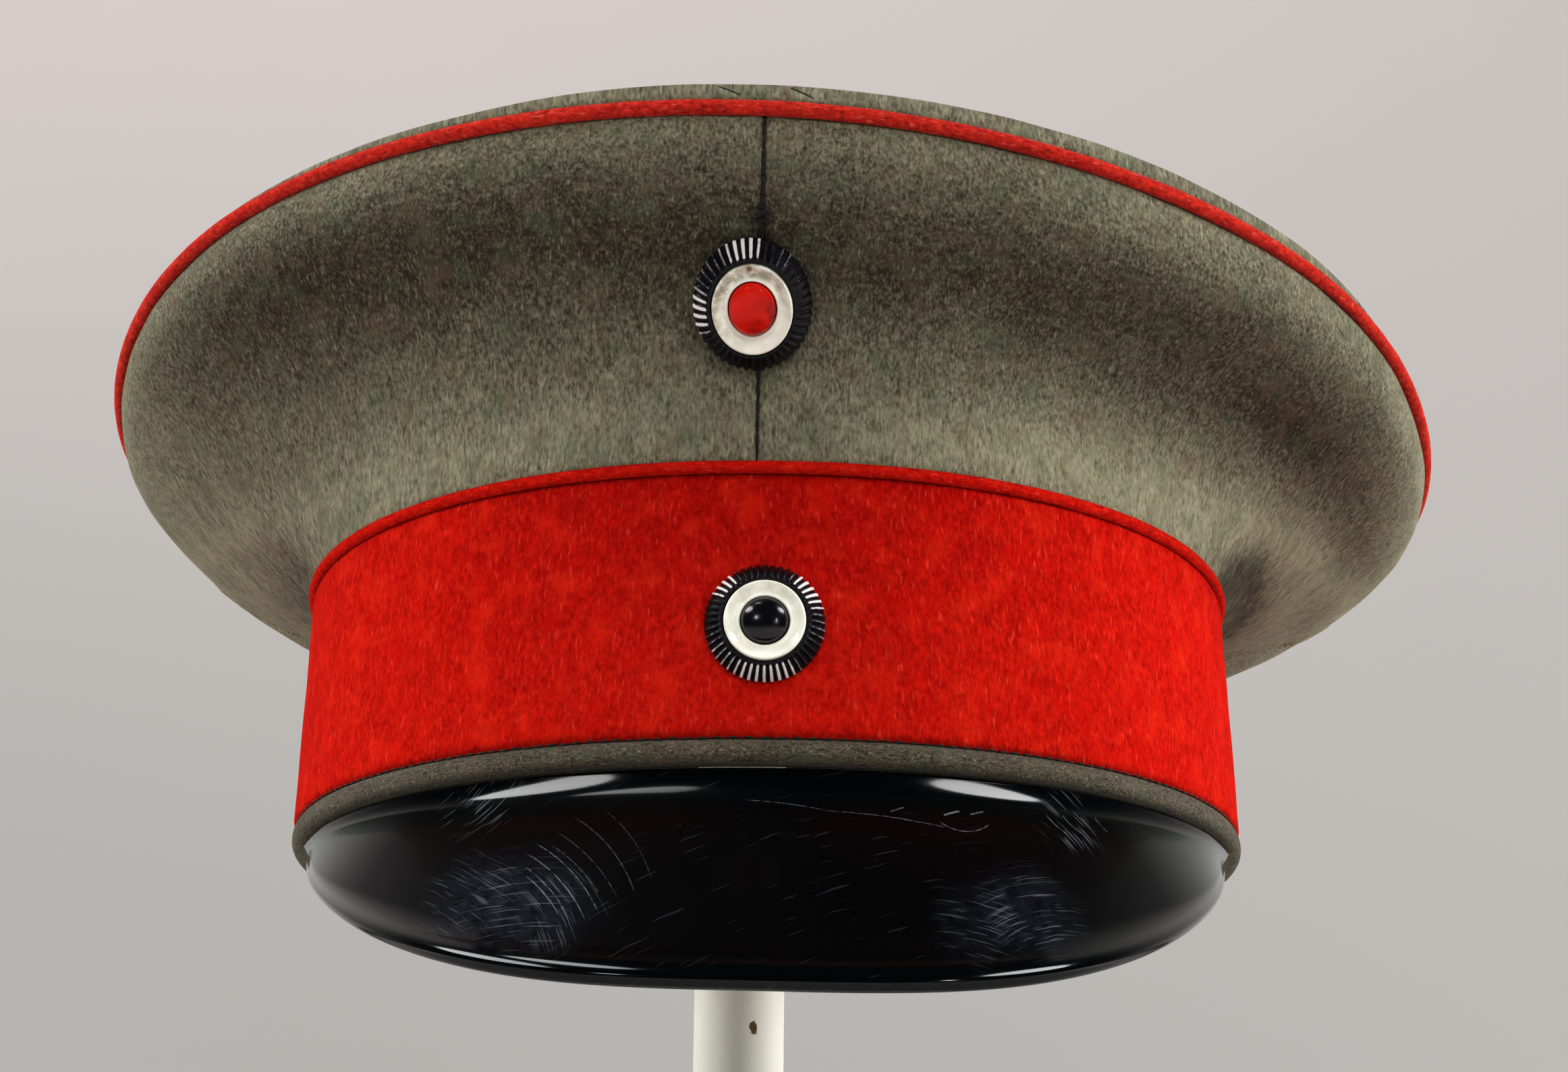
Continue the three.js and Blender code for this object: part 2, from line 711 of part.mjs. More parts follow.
for (const { name, tall, seat, behind, boss, frame } of seats) {
  addPiece(capFrame, `${name}_rim`, cockadeRim(tall, seat), materials.enamelBlack, frame);
  addPiece(capFrame, `${name}_ring`, cockadeRing(tall, seat), materials.enamelWhite, frame);
  addPiece(capFrame, `${name}_boss`, cockadeBoss(tall, seat), materials[boss], frame);
  addPiece(capFrame, `${name}_pin`, cockadePin(seat, behind), materials.steel, frame);
}

addPiece(group, "stand_base", standBase(), materials.whitePaint);
addPiece(group, "stand_post", standPost(), materials.whitePaint);
addPiece(group, "stand_head", standHead(), materials.whitePaint);

export default group;
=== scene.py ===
import math
import random
from collections import namedtuple

import bmesh
import bpy
from bpy.props import FloatProperty, FloatVectorProperty, PointerProperty
from mathutils import Matrix, Vector, noise


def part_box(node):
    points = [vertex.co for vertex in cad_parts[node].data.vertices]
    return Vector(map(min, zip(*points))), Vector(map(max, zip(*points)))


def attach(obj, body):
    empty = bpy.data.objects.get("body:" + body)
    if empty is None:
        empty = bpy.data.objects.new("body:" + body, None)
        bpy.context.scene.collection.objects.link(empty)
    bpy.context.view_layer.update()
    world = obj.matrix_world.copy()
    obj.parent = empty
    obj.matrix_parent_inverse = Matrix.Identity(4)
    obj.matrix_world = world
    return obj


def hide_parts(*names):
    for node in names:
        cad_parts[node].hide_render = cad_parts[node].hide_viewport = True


bl_info = {
    "name": "Visor cap on a stand",
    "version": (1, 0, 0),
    "blender": (4, 5, 0),
    "location": "View3D > Sidebar > Cap",
    "description": "Models a visor cap's cloth, piping, visor, cockades and stitches, its stand and a studio",
    "category": "Add Mesh",
}

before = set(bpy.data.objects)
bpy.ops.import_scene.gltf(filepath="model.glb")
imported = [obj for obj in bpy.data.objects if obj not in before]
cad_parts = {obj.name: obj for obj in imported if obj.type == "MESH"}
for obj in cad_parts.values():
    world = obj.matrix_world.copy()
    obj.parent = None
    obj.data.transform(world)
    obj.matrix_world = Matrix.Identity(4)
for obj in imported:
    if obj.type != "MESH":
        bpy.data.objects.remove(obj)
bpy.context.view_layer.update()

# ---- sizes of the cap, in millimetres ----

# The cap has a frame of its own. It faces -Y, and z = 0 is its band's lower edge.

MM = 0.001
BAND_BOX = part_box("band_body")
CAP_AT = Vector(((BAND_BOX[0].x + BAND_BOX[1].x) / 2, (BAND_BOX[0].y + BAND_BOX[1].y) / 2, BAND_BOX[0].z))

OVAL_POWER = 2.1
BAND_LOW = Vector((89.0, 105.0))
BAND_HIGH = Vector((87.4, 103.6))
BAND_LEAN = -0.4
BAND_TOP = 46.9
EDGE_HEIGHT = 3.9  # the grey edge below the red band
BAND_ROUND = 610  # once round the band
CORD_HEIGHT = 48.5
CROWN_FOOT = Vector((87.2, 103.4))
CROWN_LOW = 50.05
RIM_HALF_WIDTH, RIM_FRONT, RIM_BACK = 127.3, 130.0, 128.0
RIM_CLEARANCE = 1.45


def table(name, fields, *rows):
    """Rows of numbers whose columns have names."""
    kind = namedtuple(name, fields)
    return [kind(*row) for row in rows]


SECTIONS = table(
    "Section", "azimuth rim rise lip foot top roll",
    (-180, 66.0, 18, 92, 20, 12, 4.2),
    (-135, 74.5, 6, 86, 27, 12, 3.6),
    (-90, 82.1, 36, 88, 25, 13, 3.1),
    (-45, 96.4, 91, 110, 34, 16, 3.7),
    (0, 98.7, 94, 96, 32, 19, 5.8),
    (45, 88.6, 98, 105, 34, 23, 6.2),
    (90, 71.6, 28, 83, 26, 12, 4.4),
    (135, 71.0, 4, 88, 28, 13, 4.0),
)
TOP_ROWS = table(
    "TopRow", "inward roll lift",
    (0.013, 0.0, -1.3), (0.004, 0.0, -0.7), (0.0, 0.12, 0.0), (0.005, 0.55, 0.0), (0.016, 0.92, 0.0),
    (0.045, 1.05, 0.0), (0.12, 0.9, 0.2), (0.3, 0.5, 0.9), (0.6, 0.12, 2.4), (0.85, 0.02, 3.2),
    (1.0, 0.0, 3.4),
)
TOP_MIDDLE, TOP_SLOPE_X, TOP_SLOPE_Y = 82.2, -0.043, -0.127

SEAMS = table("Seam", "foot rim", (-180, -180), (-108, -106), (-0.75, -0.4), (108, 106), (180, 180))
PANELS = ["crown_left_back", "crown_left_front", "crown_right_front", "crown_right_back"]

# The visor's face in section, off the straight line from the band, 0, to the edge, 1. It first drops steeply.
FACE_ROWS = table(
    "FaceRow", "down off",
    (0.0, 0.0), (0.02, -0.42), (0.04, -0.78), (0.065, -1.12), (0.09, -1.33),
    (0.12, -1.41), (0.16, -1.33), (0.22, -1.05), (0.33, -0.5), (0.5, 0.05),
    (0.7, 0.56), (0.86, 0.95), (0.92, 1.02), (0.965, 0.75), (1.0, 0.0),
)
# Where the lacquer is rubbed: a middle and its reach, then broken lines curved round another point.
RUBS = table(
    "Rub", "x z reach turn_x turn_z pitch length share stray strength bloom",
    (-36, -24, 12, -34, -70, 0.3, 8.0, 0.6, 2.0, 0.5, 0.6),
    (-44, -22, 10, -70, -60, 0.28, 6.5, 0.6, 2.5, 0.45, 0.5),
    (-30, -25, 9, -52, -39, 0.32, 9.0, 0.59, 1.0, 0.5, 0.3),
    (-45, -4, 9, -70, 20, 0.32, 6.0, 0.6, 1.0, 0.6, 0.0),
    (40, -24, 10, 46, -44, 0.3, 7.5, 0.59, 2.2, 0.55, 0.6),
    (32, -27, 9, 24, -60, 0.28, 6.5, 0.6, 2.5, 0.4, 0.4),
    (49, -6, 8, 30, -22, 0.32, 7.0, 0.6, 0.8, 0.7, 0.0),
    (0, -20, 50, 60, -160, 0.45, 8.0, 0.68, 1.5, 0.14, 0.0),
)
# Single scratches: a middle, a heading in degrees from +X, and the bend's radius, above 0 when it turns right.
SCRATCHES = table(
    "Scratch", "x z heading radius length width strength",
    (-32.2, -22.6, -51, 29, 10, 0.12, 0.9), (-31.4, -21.9, -51, 29, 13, 0.12, 1.0),
    (-30.0, -20.4, -50, 30, 17, 0.12, 1.0), (-28.3, -19.0, -50, 31, 18, 0.12, 1.0),
    (-27.4, -18.2, -49, 32, 14, 0.1, 0.7), (-25.6, -16.9, -50, 34, 17, 0.1, 0.5),
    (-22.8, -15.0, -54, 30, 19, 0.12, 0.5), (-19.6, -13.4, -58, 30, 16, 0.1, 0.35),
    (3.5, -6.6, -8, 70, 13, 0.1, 0.7), (16.0, -8.2, -5, 140, 14, 0.1, 0.75),
    (24.5, -9.3, -9, 60, 7, 0.1, 0.7), (31.0, -10.4, 2, -5.4, 9, 0.14, 0.9),
    (29.0, -7.0, 22, 20, 3.0, 0.24, 1.2), (33.0, -6.6, 20, 20, 2.6, 0.2, 1.0),
    (20.5, -7.0, 24, 20, 2.6, 0.16, 0.7), (46.0, -7.2, -48, -12, 5.0, 0.12, 1.0),
    (48.6, -6.6, -50, -12, 5.0, 0.12, 0.8), (51.6, -6.0, -52, -12, 4.0, 0.12, 0.8),
    (54.0, -5.6, -54, -12, 3.5, 0.12, 0.7),
)
VISOR_CORNER = 74  # where the visor ends on each side, as an azimuth
VISOR_TOP = -0.4
VISOR_INSET = 2
VISOR_FLANGE = 3.4
EDGE_TOP, EDGE_FRONT, EDGE_DROP, EDGE_SKEW = -3.4, -132, -38.2, -0.014
POST_KNOCK = (0.0028, -0.0085, 0.2105)  # a chip in the post's paint, in metres in the scene


def placed(point):
    """A point of the cap's own frame, in the scene."""
    return CAP_AT + point * MM


def mixed(a, b, share):
    return a + (b - a) * share


def clamp(value, low=0.0, high=1.0):
    return max(low, min(high, value))


def signed_power(value, power):
    return math.copysign(abs(value) ** power, value)


def hump(value, middle, width):
    """1 at the middle, and about a third at the width to either side."""
    return math.exp(-(((value - middle) / width) ** 2))


def curve(a, b, c, d, t):
    """The smooth curve through four even values, at t from b, 0, to c, 1."""
    return b + 0.5 * t * (c - a + t * (2 * a - 5 * b + 4 * c - d + t * (3 * (b - c) + d - a)))


def through(rows, place, column):
    """A column of a table at a place between its rows, on a smooth curve through them."""
    index = min(int(place), len(rows) - 2)
    near = (getattr(rows[int(clamp(index + k, 0, len(rows) - 1))], column) for k in (-1, 0, 1, 2))
    return curve(*near, place - index)


def table_value(rows, at, key, column):
    """A column of a table where its key column has the value at, on a smooth curve through uneven rows."""
    index = 0
    while index < len(rows) - 2 and getattr(rows[index + 1], key) < at:
        index += 1
    near = [rows[int(clamp(index + k, 0, len(rows) - 1))] for k in (-1, 0, 1, 2)]
    x = [getattr(row, key) for row in near]
    y = [getattr(row, column) for row in near]
    width = x[2] - x[1]
    start, end = (width * (y[k + 1] - y[k - 1]) / (x[k + 1] - x[k - 1]) for k in (1, 2))
    t = clamp((at - x[1]) / width)
    bend = 2 * (y[1] - y[2]) + start + end
    return y[1] + t * (start + t * (y[2] - y[1] - start - bend + t * bend))


def oval(azimuth, half):
    """A point of the head's rounded oval. Azimuth 0 is the front and 90 is +X."""
    turn, power = math.radians(azimuth), 2 / OVAL_POWER
    across, back = signed_power(math.sin(turn), power), -signed_power(math.cos(turn), power)
    return Vector((half.x * across, half.y * back, 0))


def rim_point(azimuth):
    """A point of the crown's rim in plan."""
    turn = math.radians(azimuth)
    length = RIM_FRONT if math.cos(turn) > 0 else RIM_BACK
    return Vector((RIM_HALF_WIDTH * math.sin(turn), -length * math.cos(turn), 0))


def crown_value(azimuth, column):
    """A column of SECTIONS at any azimuth."""
    count = len(SECTIONS)
    place = (azimuth + 180) % 360 / (360 / count)
    index = int(place)
    near = (getattr(SECTIONS[(index + k) % count], column) for k in (-1, 0, 1, 2))
    return curve(*near, place - index)


def crown_face(azimuth, along):
    """The outer face of the crown's side: along is 0 at the band and 1 at the rim. Past those it tucks in."""
    foot = oval(azimuth, CROWN_FOOT) + Vector((BAND_LEAN, 0, 0))
    out = rim_point(azimuth) - foot
    reach = out.length - 0.3
    out.normalize()
    rise = math.radians(crown_value(azimuth, "rise"))
    lip = math.radians(crown_value(azimuth, "lip"))
    foot_hold = crown_value(azimuth, "foot")
    top_hold = crown_value(azimuth, "top")
    high = crown_value(azimuth, "rim") - RIM_CLEARANCE
    t = clamp(along)
    s = 1 - t
    points = (
        (0, CROWN_LOW),
        (foot_hold * math.cos(rise), CROWN_LOW + foot_hold * math.sin(rise)),
        (reach - top_hold * math.cos(lip), high - top_hold * math.sin(lip)),
        (reach, high),
    )
    weights = (s**3, 3 * s * s * t, 3 * s * t * t, t**3)
    r = sum(w * p[0] for w, p in zip(weights, points))
    z = sum(w * p[1] for w, p in zip(weights, points))
    if along < 0:
        r += 18 * along
        z += 40 * along
    if along > 1:
        r -= 25 * (along - 1)
        z += 30 * (along - 1)
    return foot + out * r + Vector((0, 0, z))


def crown_normal(azimuth, along):
    """Points out of the crown's side."""
    step = 0.01
    low, high = clamp(along - step, 0, 1), clamp(along + step, 0, 1)
    round_cap = crown_face(azimuth + 0.3, along) - crown_face(azimuth - 0.3, along)
    upwards = crown_face(azimuth, high) - crown_face(azimuth, low)
    return round_cap.cross(upwards).normalized()


def along_at(azimuth, height):
    """How far up the crown's side a height is reached."""
    along, step = 0.5, 0.25
    while step > 1e-4:
        along += step if crown_face(azimuth, along).z < height else -step
        step /= 2
    return along


def crown_shade_and_relief(azimuth, along):
    """How light the crown's cloth is painted and how proud it stands: high on the ridge above the band and at
    the sides, which is painted light, low in the hollow and corners, which is painted shade.
    """
    turn = abs((azimuth + 180) % 360 - 180)
    right = 0.5 + 0.5 * signed_power(math.sin(math.radians(azimuth)), 0.6)
    ridge_at = 0.06 + 0.36 * clamp((turn - 50) / 40, 0.0, 1.2) ** 2
    ridge = hump(along, ridge_at, 0.07 + 0.03 * right) * (0.35 + 0.45 * right - 0.35 * hump(turn, 0, 14))
    hollow = hump(along, 0.6 - 0.06 * right, 0.27) * (1.3 - 0.45 * right) * clamp((76 - turn) / 30)
    side = clamp((turn - 62) / 28) * clamp((125 - turn) / 25)
    glow = clamp((along - 0.1) / 0.15) * side * (0.4 + 0.3 * right)
    valley = hump(along, 0.46, 0.13) * clamp((turn - 45) / 12) * clamp((110 - turn) / 25) * right * 0.9
    corner = hump(along, 0.04, 0.13 - 0.04 * right) * clamp((turn - 70) / 8) * clamp((102 - turn) / 12)
    return clamp(ridge - hollow + glow - valley - corner * (0.8 + 2.7 * right), -1.6, 1.4)


def top_face(azimuth, place):
    """The outer face of the top. place counts the rows of TOP_ROWS, from the rim to the middle."""
    inward = max(0.0, through(TOP_ROWS, place, "inward"))
    rim = rim_point(azimuth) * (1 - 0.3 / RIM_HALF_WIDTH)
    plan = rim * (1 - inward)

    def plane(p):
        return TOP_MIDDLE + TOP_SLOPE_X * p.x + TOP_SLOPE_Y * p.y

    warp = crown_value(azimuth, "rim") - plane(rim)
    roll = (crown_value(azimuth, "roll") - RIM_CLEARANCE) * through(TOP_ROWS, place, "roll")
    rise = RIM_CLEARANCE + roll + through(TOP_ROWS, place, "lift")
    return plan + Vector((0, 0, plane(plan) + warp * (1 - inward) ** 2 + rise))


def band_line(azimuth, height, depth):
    """A point at a depth under the band's outer face."""
    share = height / BAND_TOP
    half = BAND_LOW.lerp(BAND_HIGH, share) - Vector((depth, depth))
    return oval(azimuth, half) + Vector((BAND_LEAN * share, 0, height))


def rolled(distance, radius):
    """How deep a folded edge of cloth lies, at a distance in from its fold."""
    if distance >= radius:
        return 0.0
    return radius - math.sqrt(max(0.0, radius**2 - (radius - max(0.0, distance)) ** 2))


# ---- meshes ----


def laid_sheet(columns, rows, place, pattern):
    """A grid whose points are place(u, v) and whose map is pattern(u, v), with u and v from 0 to 1."""
    bm = bmesh.new()
    cloth = bm.loops.layers.uv.new("cloth")
    bmesh.ops.create_grid(bm, x_segments=columns, y_segments=rows, size=0.5)
    for face in bm.faces:
        for loop in face.loops:
            loop[cloth].uv = pattern(loop.vert.co.x + 0.5, loop.vert.co.y + 0.5)
    for vert in bm.verts:
        vert.co = place(vert.co.x + 0.5, vert.co.y + 0.5)
    return bm


def painted(bm, columns, names, values):
    """Gives each point of a laid sheet named attributes, from values(column, row)."""
    layers = [bm.verts.layers.float.new(name) for name in names]
    bm.verts.ensure_lookup_table()
    for i, vert in enumerate(bm.verts):
        row, column = divmod(i, columns + 1)
        for layer, value in zip(layers, values(column, row)):
            vert[layer] = value


def joined_up(bm):
    """Closes a sheet whose opposite edges lie on each other."""
    bmesh.ops.remove_doubles(bm, verts=bm.verts, dist=1e-6)
    bmesh.ops.recalc_face_normals(bm, faces=bm.faces)
    return bm


def spun(profile, steps, base=0):
    """A round piece about Z, from (radius, height over the base) points that end on the axis or close up."""
    bm = bmesh.new()
    points = [bm.verts.new((r, 0, base + z)) for r, z in profile]
    edges = [bm.edges.new(pair) for pair in zip(points, points[1:])]
    bmesh.ops.spin(
        bm, geom=points + edges, cent=(0, 0, 0), axis=(0, 0, 1), angle=math.tau, steps=steps, use_merge=True
    )
    return joined_up(bm)


def added(name, data):
    """A new object in the scene."""
    made = bpy.data.objects.new(name, data)
    bpy.context.scene.collection.objects.link(made)
    return made


def meshed(name, bm, finish):
    """Turns a bmesh into an object of one material."""
    mesh = bpy.data.meshes.new(name)
    bm.to_mesh(mesh)
    bm.free()
    mesh.materials.append(finish)
    return added(name, mesh)


def make_piece(name, bm, finish, slot, nodes=(), wall=0.0):
    """Turns a bmesh into a finished piece of the cap that stands for some CAD nodes."""
    piece = meshed(name, bm, finish)
    piece.data.shade_smooth()
    if wall:
        solid = piece.modifiers.new("Wall", "SOLIDIFY")
        solid.thickness = wall * MM
        solid.offset = -1
    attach(piece, "root")
    if nodes:
        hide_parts(*nodes)
    return piece


# ---- materials ----


class Shade:
    """A number, colour or vector in a material. Arithmetic on it adds the Math or Vector Math nodes."""

    def __init__(self, tree, socket=None):
        self.tree = tree
        self.socket = socket

    def node(self, kind, inputs, output=0, **settings):
        """Adds one node. Its settings come first, then the value or the link of each input."""
        made = self.tree.nodes.new("ShaderNode" + kind)
        for name, value in settings.items():
            setattr(made, name, value)
        for key, value in inputs.items():
            if isinstance(value, Shade):
                self.tree.links.new(value.socket, made.inputs[key])
            else:
                made.inputs[key].default_value = value
        return Shade(self.tree, made.outputs[output])

    def maths(self, operation, a, b):
        if "VECTOR" in {getattr(getattr(x, "socket", None), "type", "") for x in (a, b)}:
            a, b = (x if isinstance(x, (Shade, tuple)) else (x, x, x) for x in (a, b))
            return self.node("VectorMath", {0: a, 1: b}, operation=operation)
        return self.node("Math", {0: a, 1: b}, operation=operation)

    def __add__(self, other):
        return self.maths("ADD", self, other)

    __radd__ = __add__

    def __mul__(self, other):
        return self.maths("MULTIPLY", self, other)

    __rmul__ = __mul__

    def __sub__(self, other):
        return self.maths("SUBTRACT", self, other)

    def __rsub__(self, other):
        return self.maths("SUBTRACT", other, self)

    def near(self, low, high):
        """0 up to low and 1 from high, smoothly between them."""
        limits = {"Value": self, "From Min": low, "From Max": high}
        return self.node("MapRange", limits, interpolation_type="SMOOTHSTEP")

    def between(self, a, b):
        """The colour a where this is 0 and b where it is 1."""
        return self.node("Mix", {0: self, 6: a, 7: b}, output=2, data_type="RGBA")

    def grain(self, scale, detail=2.0, rough=0.5, output=0):
        inputs = {"Vector": self, "Scale": scale, "Detail": detail, "Roughness": rough}
        return self.node("TexNoise", inputs, output=output)

    def place(self):
        """Where a point is in its object, which is where it is in the scene."""
        return self.node("TexCoord", {}, output=3)

    def painted(self, name):
        """A number that the mesh carries at its points."""
        return self.node("Attribute", {}, output=2, attribute_name=name)

    def span(self):
        """The length of a vector."""
        return self.node("VectorMath", {0: self}, output=1, operation="LENGTH")

    def part(self, axis):
        return self.node("SeparateXYZ", {0: self}, output="XYZ".index(axis))


def start_material(name, constants):
    """A new material and the start of its nodes. The constants go on its shader's own sockets."""
    material = bpy.data.materials.new(name)
    material.use_nodes = True
    sockets = material.node_tree.nodes["Principled BSDF"].inputs
    for key, value in constants.items():
        sockets[key].default_value = value
    return material, Shade(material.node_tree)


def finish_material(material, **links):
    """Links each shade to the shader's socket of that name. height is a shade and its depth in metres."""
    sockets = material.node_tree.nodes["Principled BSDF"].inputs
    for name, shade in links.items():
        if name == "height":
            height, depth = shade
            shade = height.node("Bump", {"Height": height, "Distance": depth, "Strength": 1.0})
            name = "Normal"
        shade.tree.links.new(shade.socket, sockets[name.replace("_", " ")])
    return material


def rgb(red, green, blue):
    """A colour given as 0 to 255 on a screen, as the shader's linear colour."""
    shares = (red / 255, green / 255, blue / 255)
    return (*(c / 12.92 if c <= 0.04045 else ((c + 0.055) / 1.055) ** 2.4 for c in shares), 1.0)


def wool(name, dark, light, warm, cool, hair, density, sheen, depth):
    """Milled wool: short fibres that lie along the map's second axis, uneven in hue, paler where light is
    painted at its points and darker where shade is.
    """
    constants = {"Roughness": 0.95, "Sheen Weight": sheen, "Sheen Roughness": 0.5, "Specular IOR Level": 0.05}
    material, start = start_material(name, constants)
    cloth = start.node("UVMap", {}, uv_map="cloth")
    laid = cloth + (cloth.grain(260, 2, output=1) - 0.5) * 0.0008
    across, along = density
    fibres = (laid * (across, along, 1.0)).grain(1, 2, 0.6)
    tufts = (laid * (across * 0.5, along * 0.5, 1.0) + 3.1).grain(1, 2, 0.5)
    clumps = (laid * (across * 0.22, along * 0.26, 1.0) + 5.7).grain(1, 2, 0.5)
    patches = cloth.grain(60, 3, 0.55)
    # Painted light and shade: the value at each point makes the tone paler or darker.
    nap = start.painted("nap")
    tone = fibres * 0.6 + tufts * 0.42 + clumps * 0.2 + patches * 0.14 - 0.18 + nap * 0.16
    colour = tone.near(0.2, 0.8).between(dark, light)
    colour = (cloth.grain(140, 2, 0.6).near(0.48, 0.72) * 0.4).between(colour, warm)
    colour = ((cloth + 0.37).grain(160, 2, 0.6).near(0.48, 0.72) * 0.4).between(colour, cool)
    hairs = (laid * (across * 1.3, along * 0.5, 1.0) + 7.3).grain(1, 1, 0.4).near(0.6, 0.8)
    colour = (hairs * 0.35).between(colour, hair)
    return finish_material(material, Base_Color=colour, height=(fibres * 0.6 + tufts, depth))


def lacquer(name):
    """Black lacquer, glossy at its root, edge and ends and dull between, with broken curved scratches."""
    constants = {"Specular IOR Level": 0.05, "Coat Roughness": 0.1, "Coat IOR": 1.5}
    material, start = start_material(name, constants)
    place = start.place()
    under = start.painted("under")
    gloss = start.painted("gloss")
    front = (place - tuple(CAP_AT)) * (1000.0, 0.0, 1000.0)  # in the cap's millimetres, seen from the front
    bloom = 0.0
    marks = (front.grain(3.2, 3, 0.7).near(0.62, 0.76) * front.grain(0.12, 2).near(0.4, 0.6)) * 0.2
    for rub in RUBS:
        away = front - (rub.turn_x, 0, rub.turn_z)
        angle = away.maths("ARCTAN2", away.part("X"), away.part("Z"))
        reach = math.hypot(rub.x - rub.turn_x, rub.z - rub.turn_z)
        sway = front.grain(0.25, 2) * rub.stray
        across = away.span() * (1 / rub.pitch) + sway
        lane = start.node("CombineXYZ", {0: across, 1: angle * (reach / rub.length)})
        spread = 1 - (front - (rub.x, 0, rub.z)).span().near(rub.reach * 0.3, rub.reach)
        marks = marks + lane.grain(1, 1, 0.4).near(rub.share, rub.share + 0.06) * spread * rub.strength
        if rub.bloom:
            bloom = spread * rub.bloom + bloom
    faint = front.grain(1.1, 2).near(0.3, 0.6)
    for scratch in SCRATCHES:
        heading = math.radians(scratch.heading)
        radius = scratch.radius
        turn = (scratch.x + math.sin(heading) * radius, 0, scratch.z - math.cos(heading) * radius)
        off = (front - turn).span() - abs(radius)
        line = 1 - off.maths("ABSOLUTE", off, 0).near(scratch.width * 0.3, scratch.width)
        kept = 1 - (front - (scratch.x, 0, scratch.z)).span().near(scratch.length * 0.38, scratch.length * 0.5)
        marks = marks + line * kept * faint * scratch.strength
    haze = front.grain(0.06, 4, 0.6)
    black = (bloom * front.grain(0.5, 4, 0.7).near(0.25, 0.75)).between(rgb(3, 5, 7), rgb(42, 47, 60))
    colour = (marks * 0.4).between(black, rgb(158, 167, 176))
    # Painted reflection: the visor's ends are greyed like dust, standing in for the pale backdrop they reflect.
    dusty = start.painted("dusty")
    colour = (dusty * (haze * 0.5 + 0.45)).between(colour, rgb(124, 130, 128))
    colour = under.between(colour, rgb(24, 22, 20))
    rough = 0.34 - gloss * 0.26 + marks * 0.25 + haze.near(0.4, 0.75) * 0.06 + under * 0.3
    coat = (gloss * 0.88 + 0.07) * (1 - under)
    peel = front.grain(0.7, 2) * 0.5 - marks * 0.2
    links = {"Base_Color": colour, "Roughness": rough, "Coat_Weight": coat}
    return finish_material(material, **links, height=(peel, 0.00002))


def enamel(name, base, wear_and_glint_colour, stain_and_shade_colour, rough, stain_and_shade_share=0.6, gloss=0.4):
    """Baked enamel on pressed metal: paled where worn and where highlights are painted on the rim's flutes,
    darkened where stained and where shade is painted on the ring and the bosses.
    """
    constants = {"Coat Weight": gloss, "Coat Roughness": 0.08, "Specular IOR Level": 0.1 + gloss}
    material, start = start_material(name, constants)
    place = start.place()
    wear = start.painted("wear")
    patina = start.painted("patina")
    grime = place.grain(1500, 4, 0.65)
    blotch = place.grain(420, 3, 0.6)
    specks = place.grain(2600, 2, 0.6).near(0.66, 0.74)
    colour = ((patina * 0.9 + 0.1) * blotch.near(0.35, 0.65) * stain_and_shade_share).between(base, stain_and_shade_colour)
    colour = (specks * (patina * 0.5 + 0.25)).between(colour, stain_and_shade_colour)
    colour = (wear + (grime - 0.5) * 0.5).near(0.4, 0.75).between(colour, wear_and_glint_colour)
    roughness = rough + grime * 0.16 + wear * 0.1
    return finish_material(material, Base_Color=colour, Roughness=roughness, height=(grime, 0.00003))


def bright_metal(name):
    """Bare drawn wire, dulled in spots."""
    material, start = start_material(name, {"Metallic": 1.0})
    place = start.place()
    dull = place.grain(900, 3, 0.6).near(0.4, 0.7)
    drawn = (place * (4000.0, 300.0, 4000.0)).grain(1, 2)
    colour = dull.between(rgb(186, 170, 132), rgb(112, 92, 62))
    return finish_material(material, Base_Color=colour, Roughness=dull * 0.25 + 0.3, height=(drawn, 0.00002))


def thread(name, base, light):
    """Waxed linen thread, twisted."""
    material, start = start_material(name, {"Roughness": 0.7, "Sheen Weight": 0.2})
    place = start.place()
    twist = (place * (1.0, 1.0, 2.5)).grain(3200, 2)
    colour = twist.near(0.35, 0.65).between(base, light)
    return finish_material(material, Base_Color=colour, height=(twist, 0.0001))


def paint(name):
    """Off-white paint on turned wood, with brush marks, a soft yellowing and a few chips."""
    material, start = start_material(name, {"Specular IOR Level": 0.45})
    place = start.place()
    brush = (place * (260.0, 260.0, 9.0)).grain(1, 3, 0.6)
    yellow = place.grain(14, 3).near(0.4, 0.75)
    colour = (brush * 0.3).between(rgb(252, 252, 244), rgb(226, 224, 206))
    colour = (yellow * 0.35).between(colour, rgb(232, 226, 196))
    chips = (place * (1.0, 1.0, 0.8)).grain(210, 3, 0.65).near(0.76, 0.77)
    knock = (place - POST_KNOCK) * (1.0, 0.3, 0.6)
    chips = chips + (1 - (knock.span() + (place.grain(900, 2) - 0.5) * 0.0012).near(0.0006, 0.0008))
    colour = chips.between(colour, rgb(112, 92, 58))
    rough = 0.42 + brush * 0.14
    return finish_material(material, Base_Color=colour, Roughness=rough, height=(brush * 0.3 - chips, 0.00012))


def matt_paper(name):
    """The floor's pale matt paper."""
    material, start = start_material(name, {"Roughness": 1.0, "Specular IOR Level": 0.0})
    place = start.place()
    colour = (place.grain(3, 2) * 0.3).between(rgb(212, 208, 206), rgb(200, 196, 194))
    return finish_material(material, Base_Color=colour)


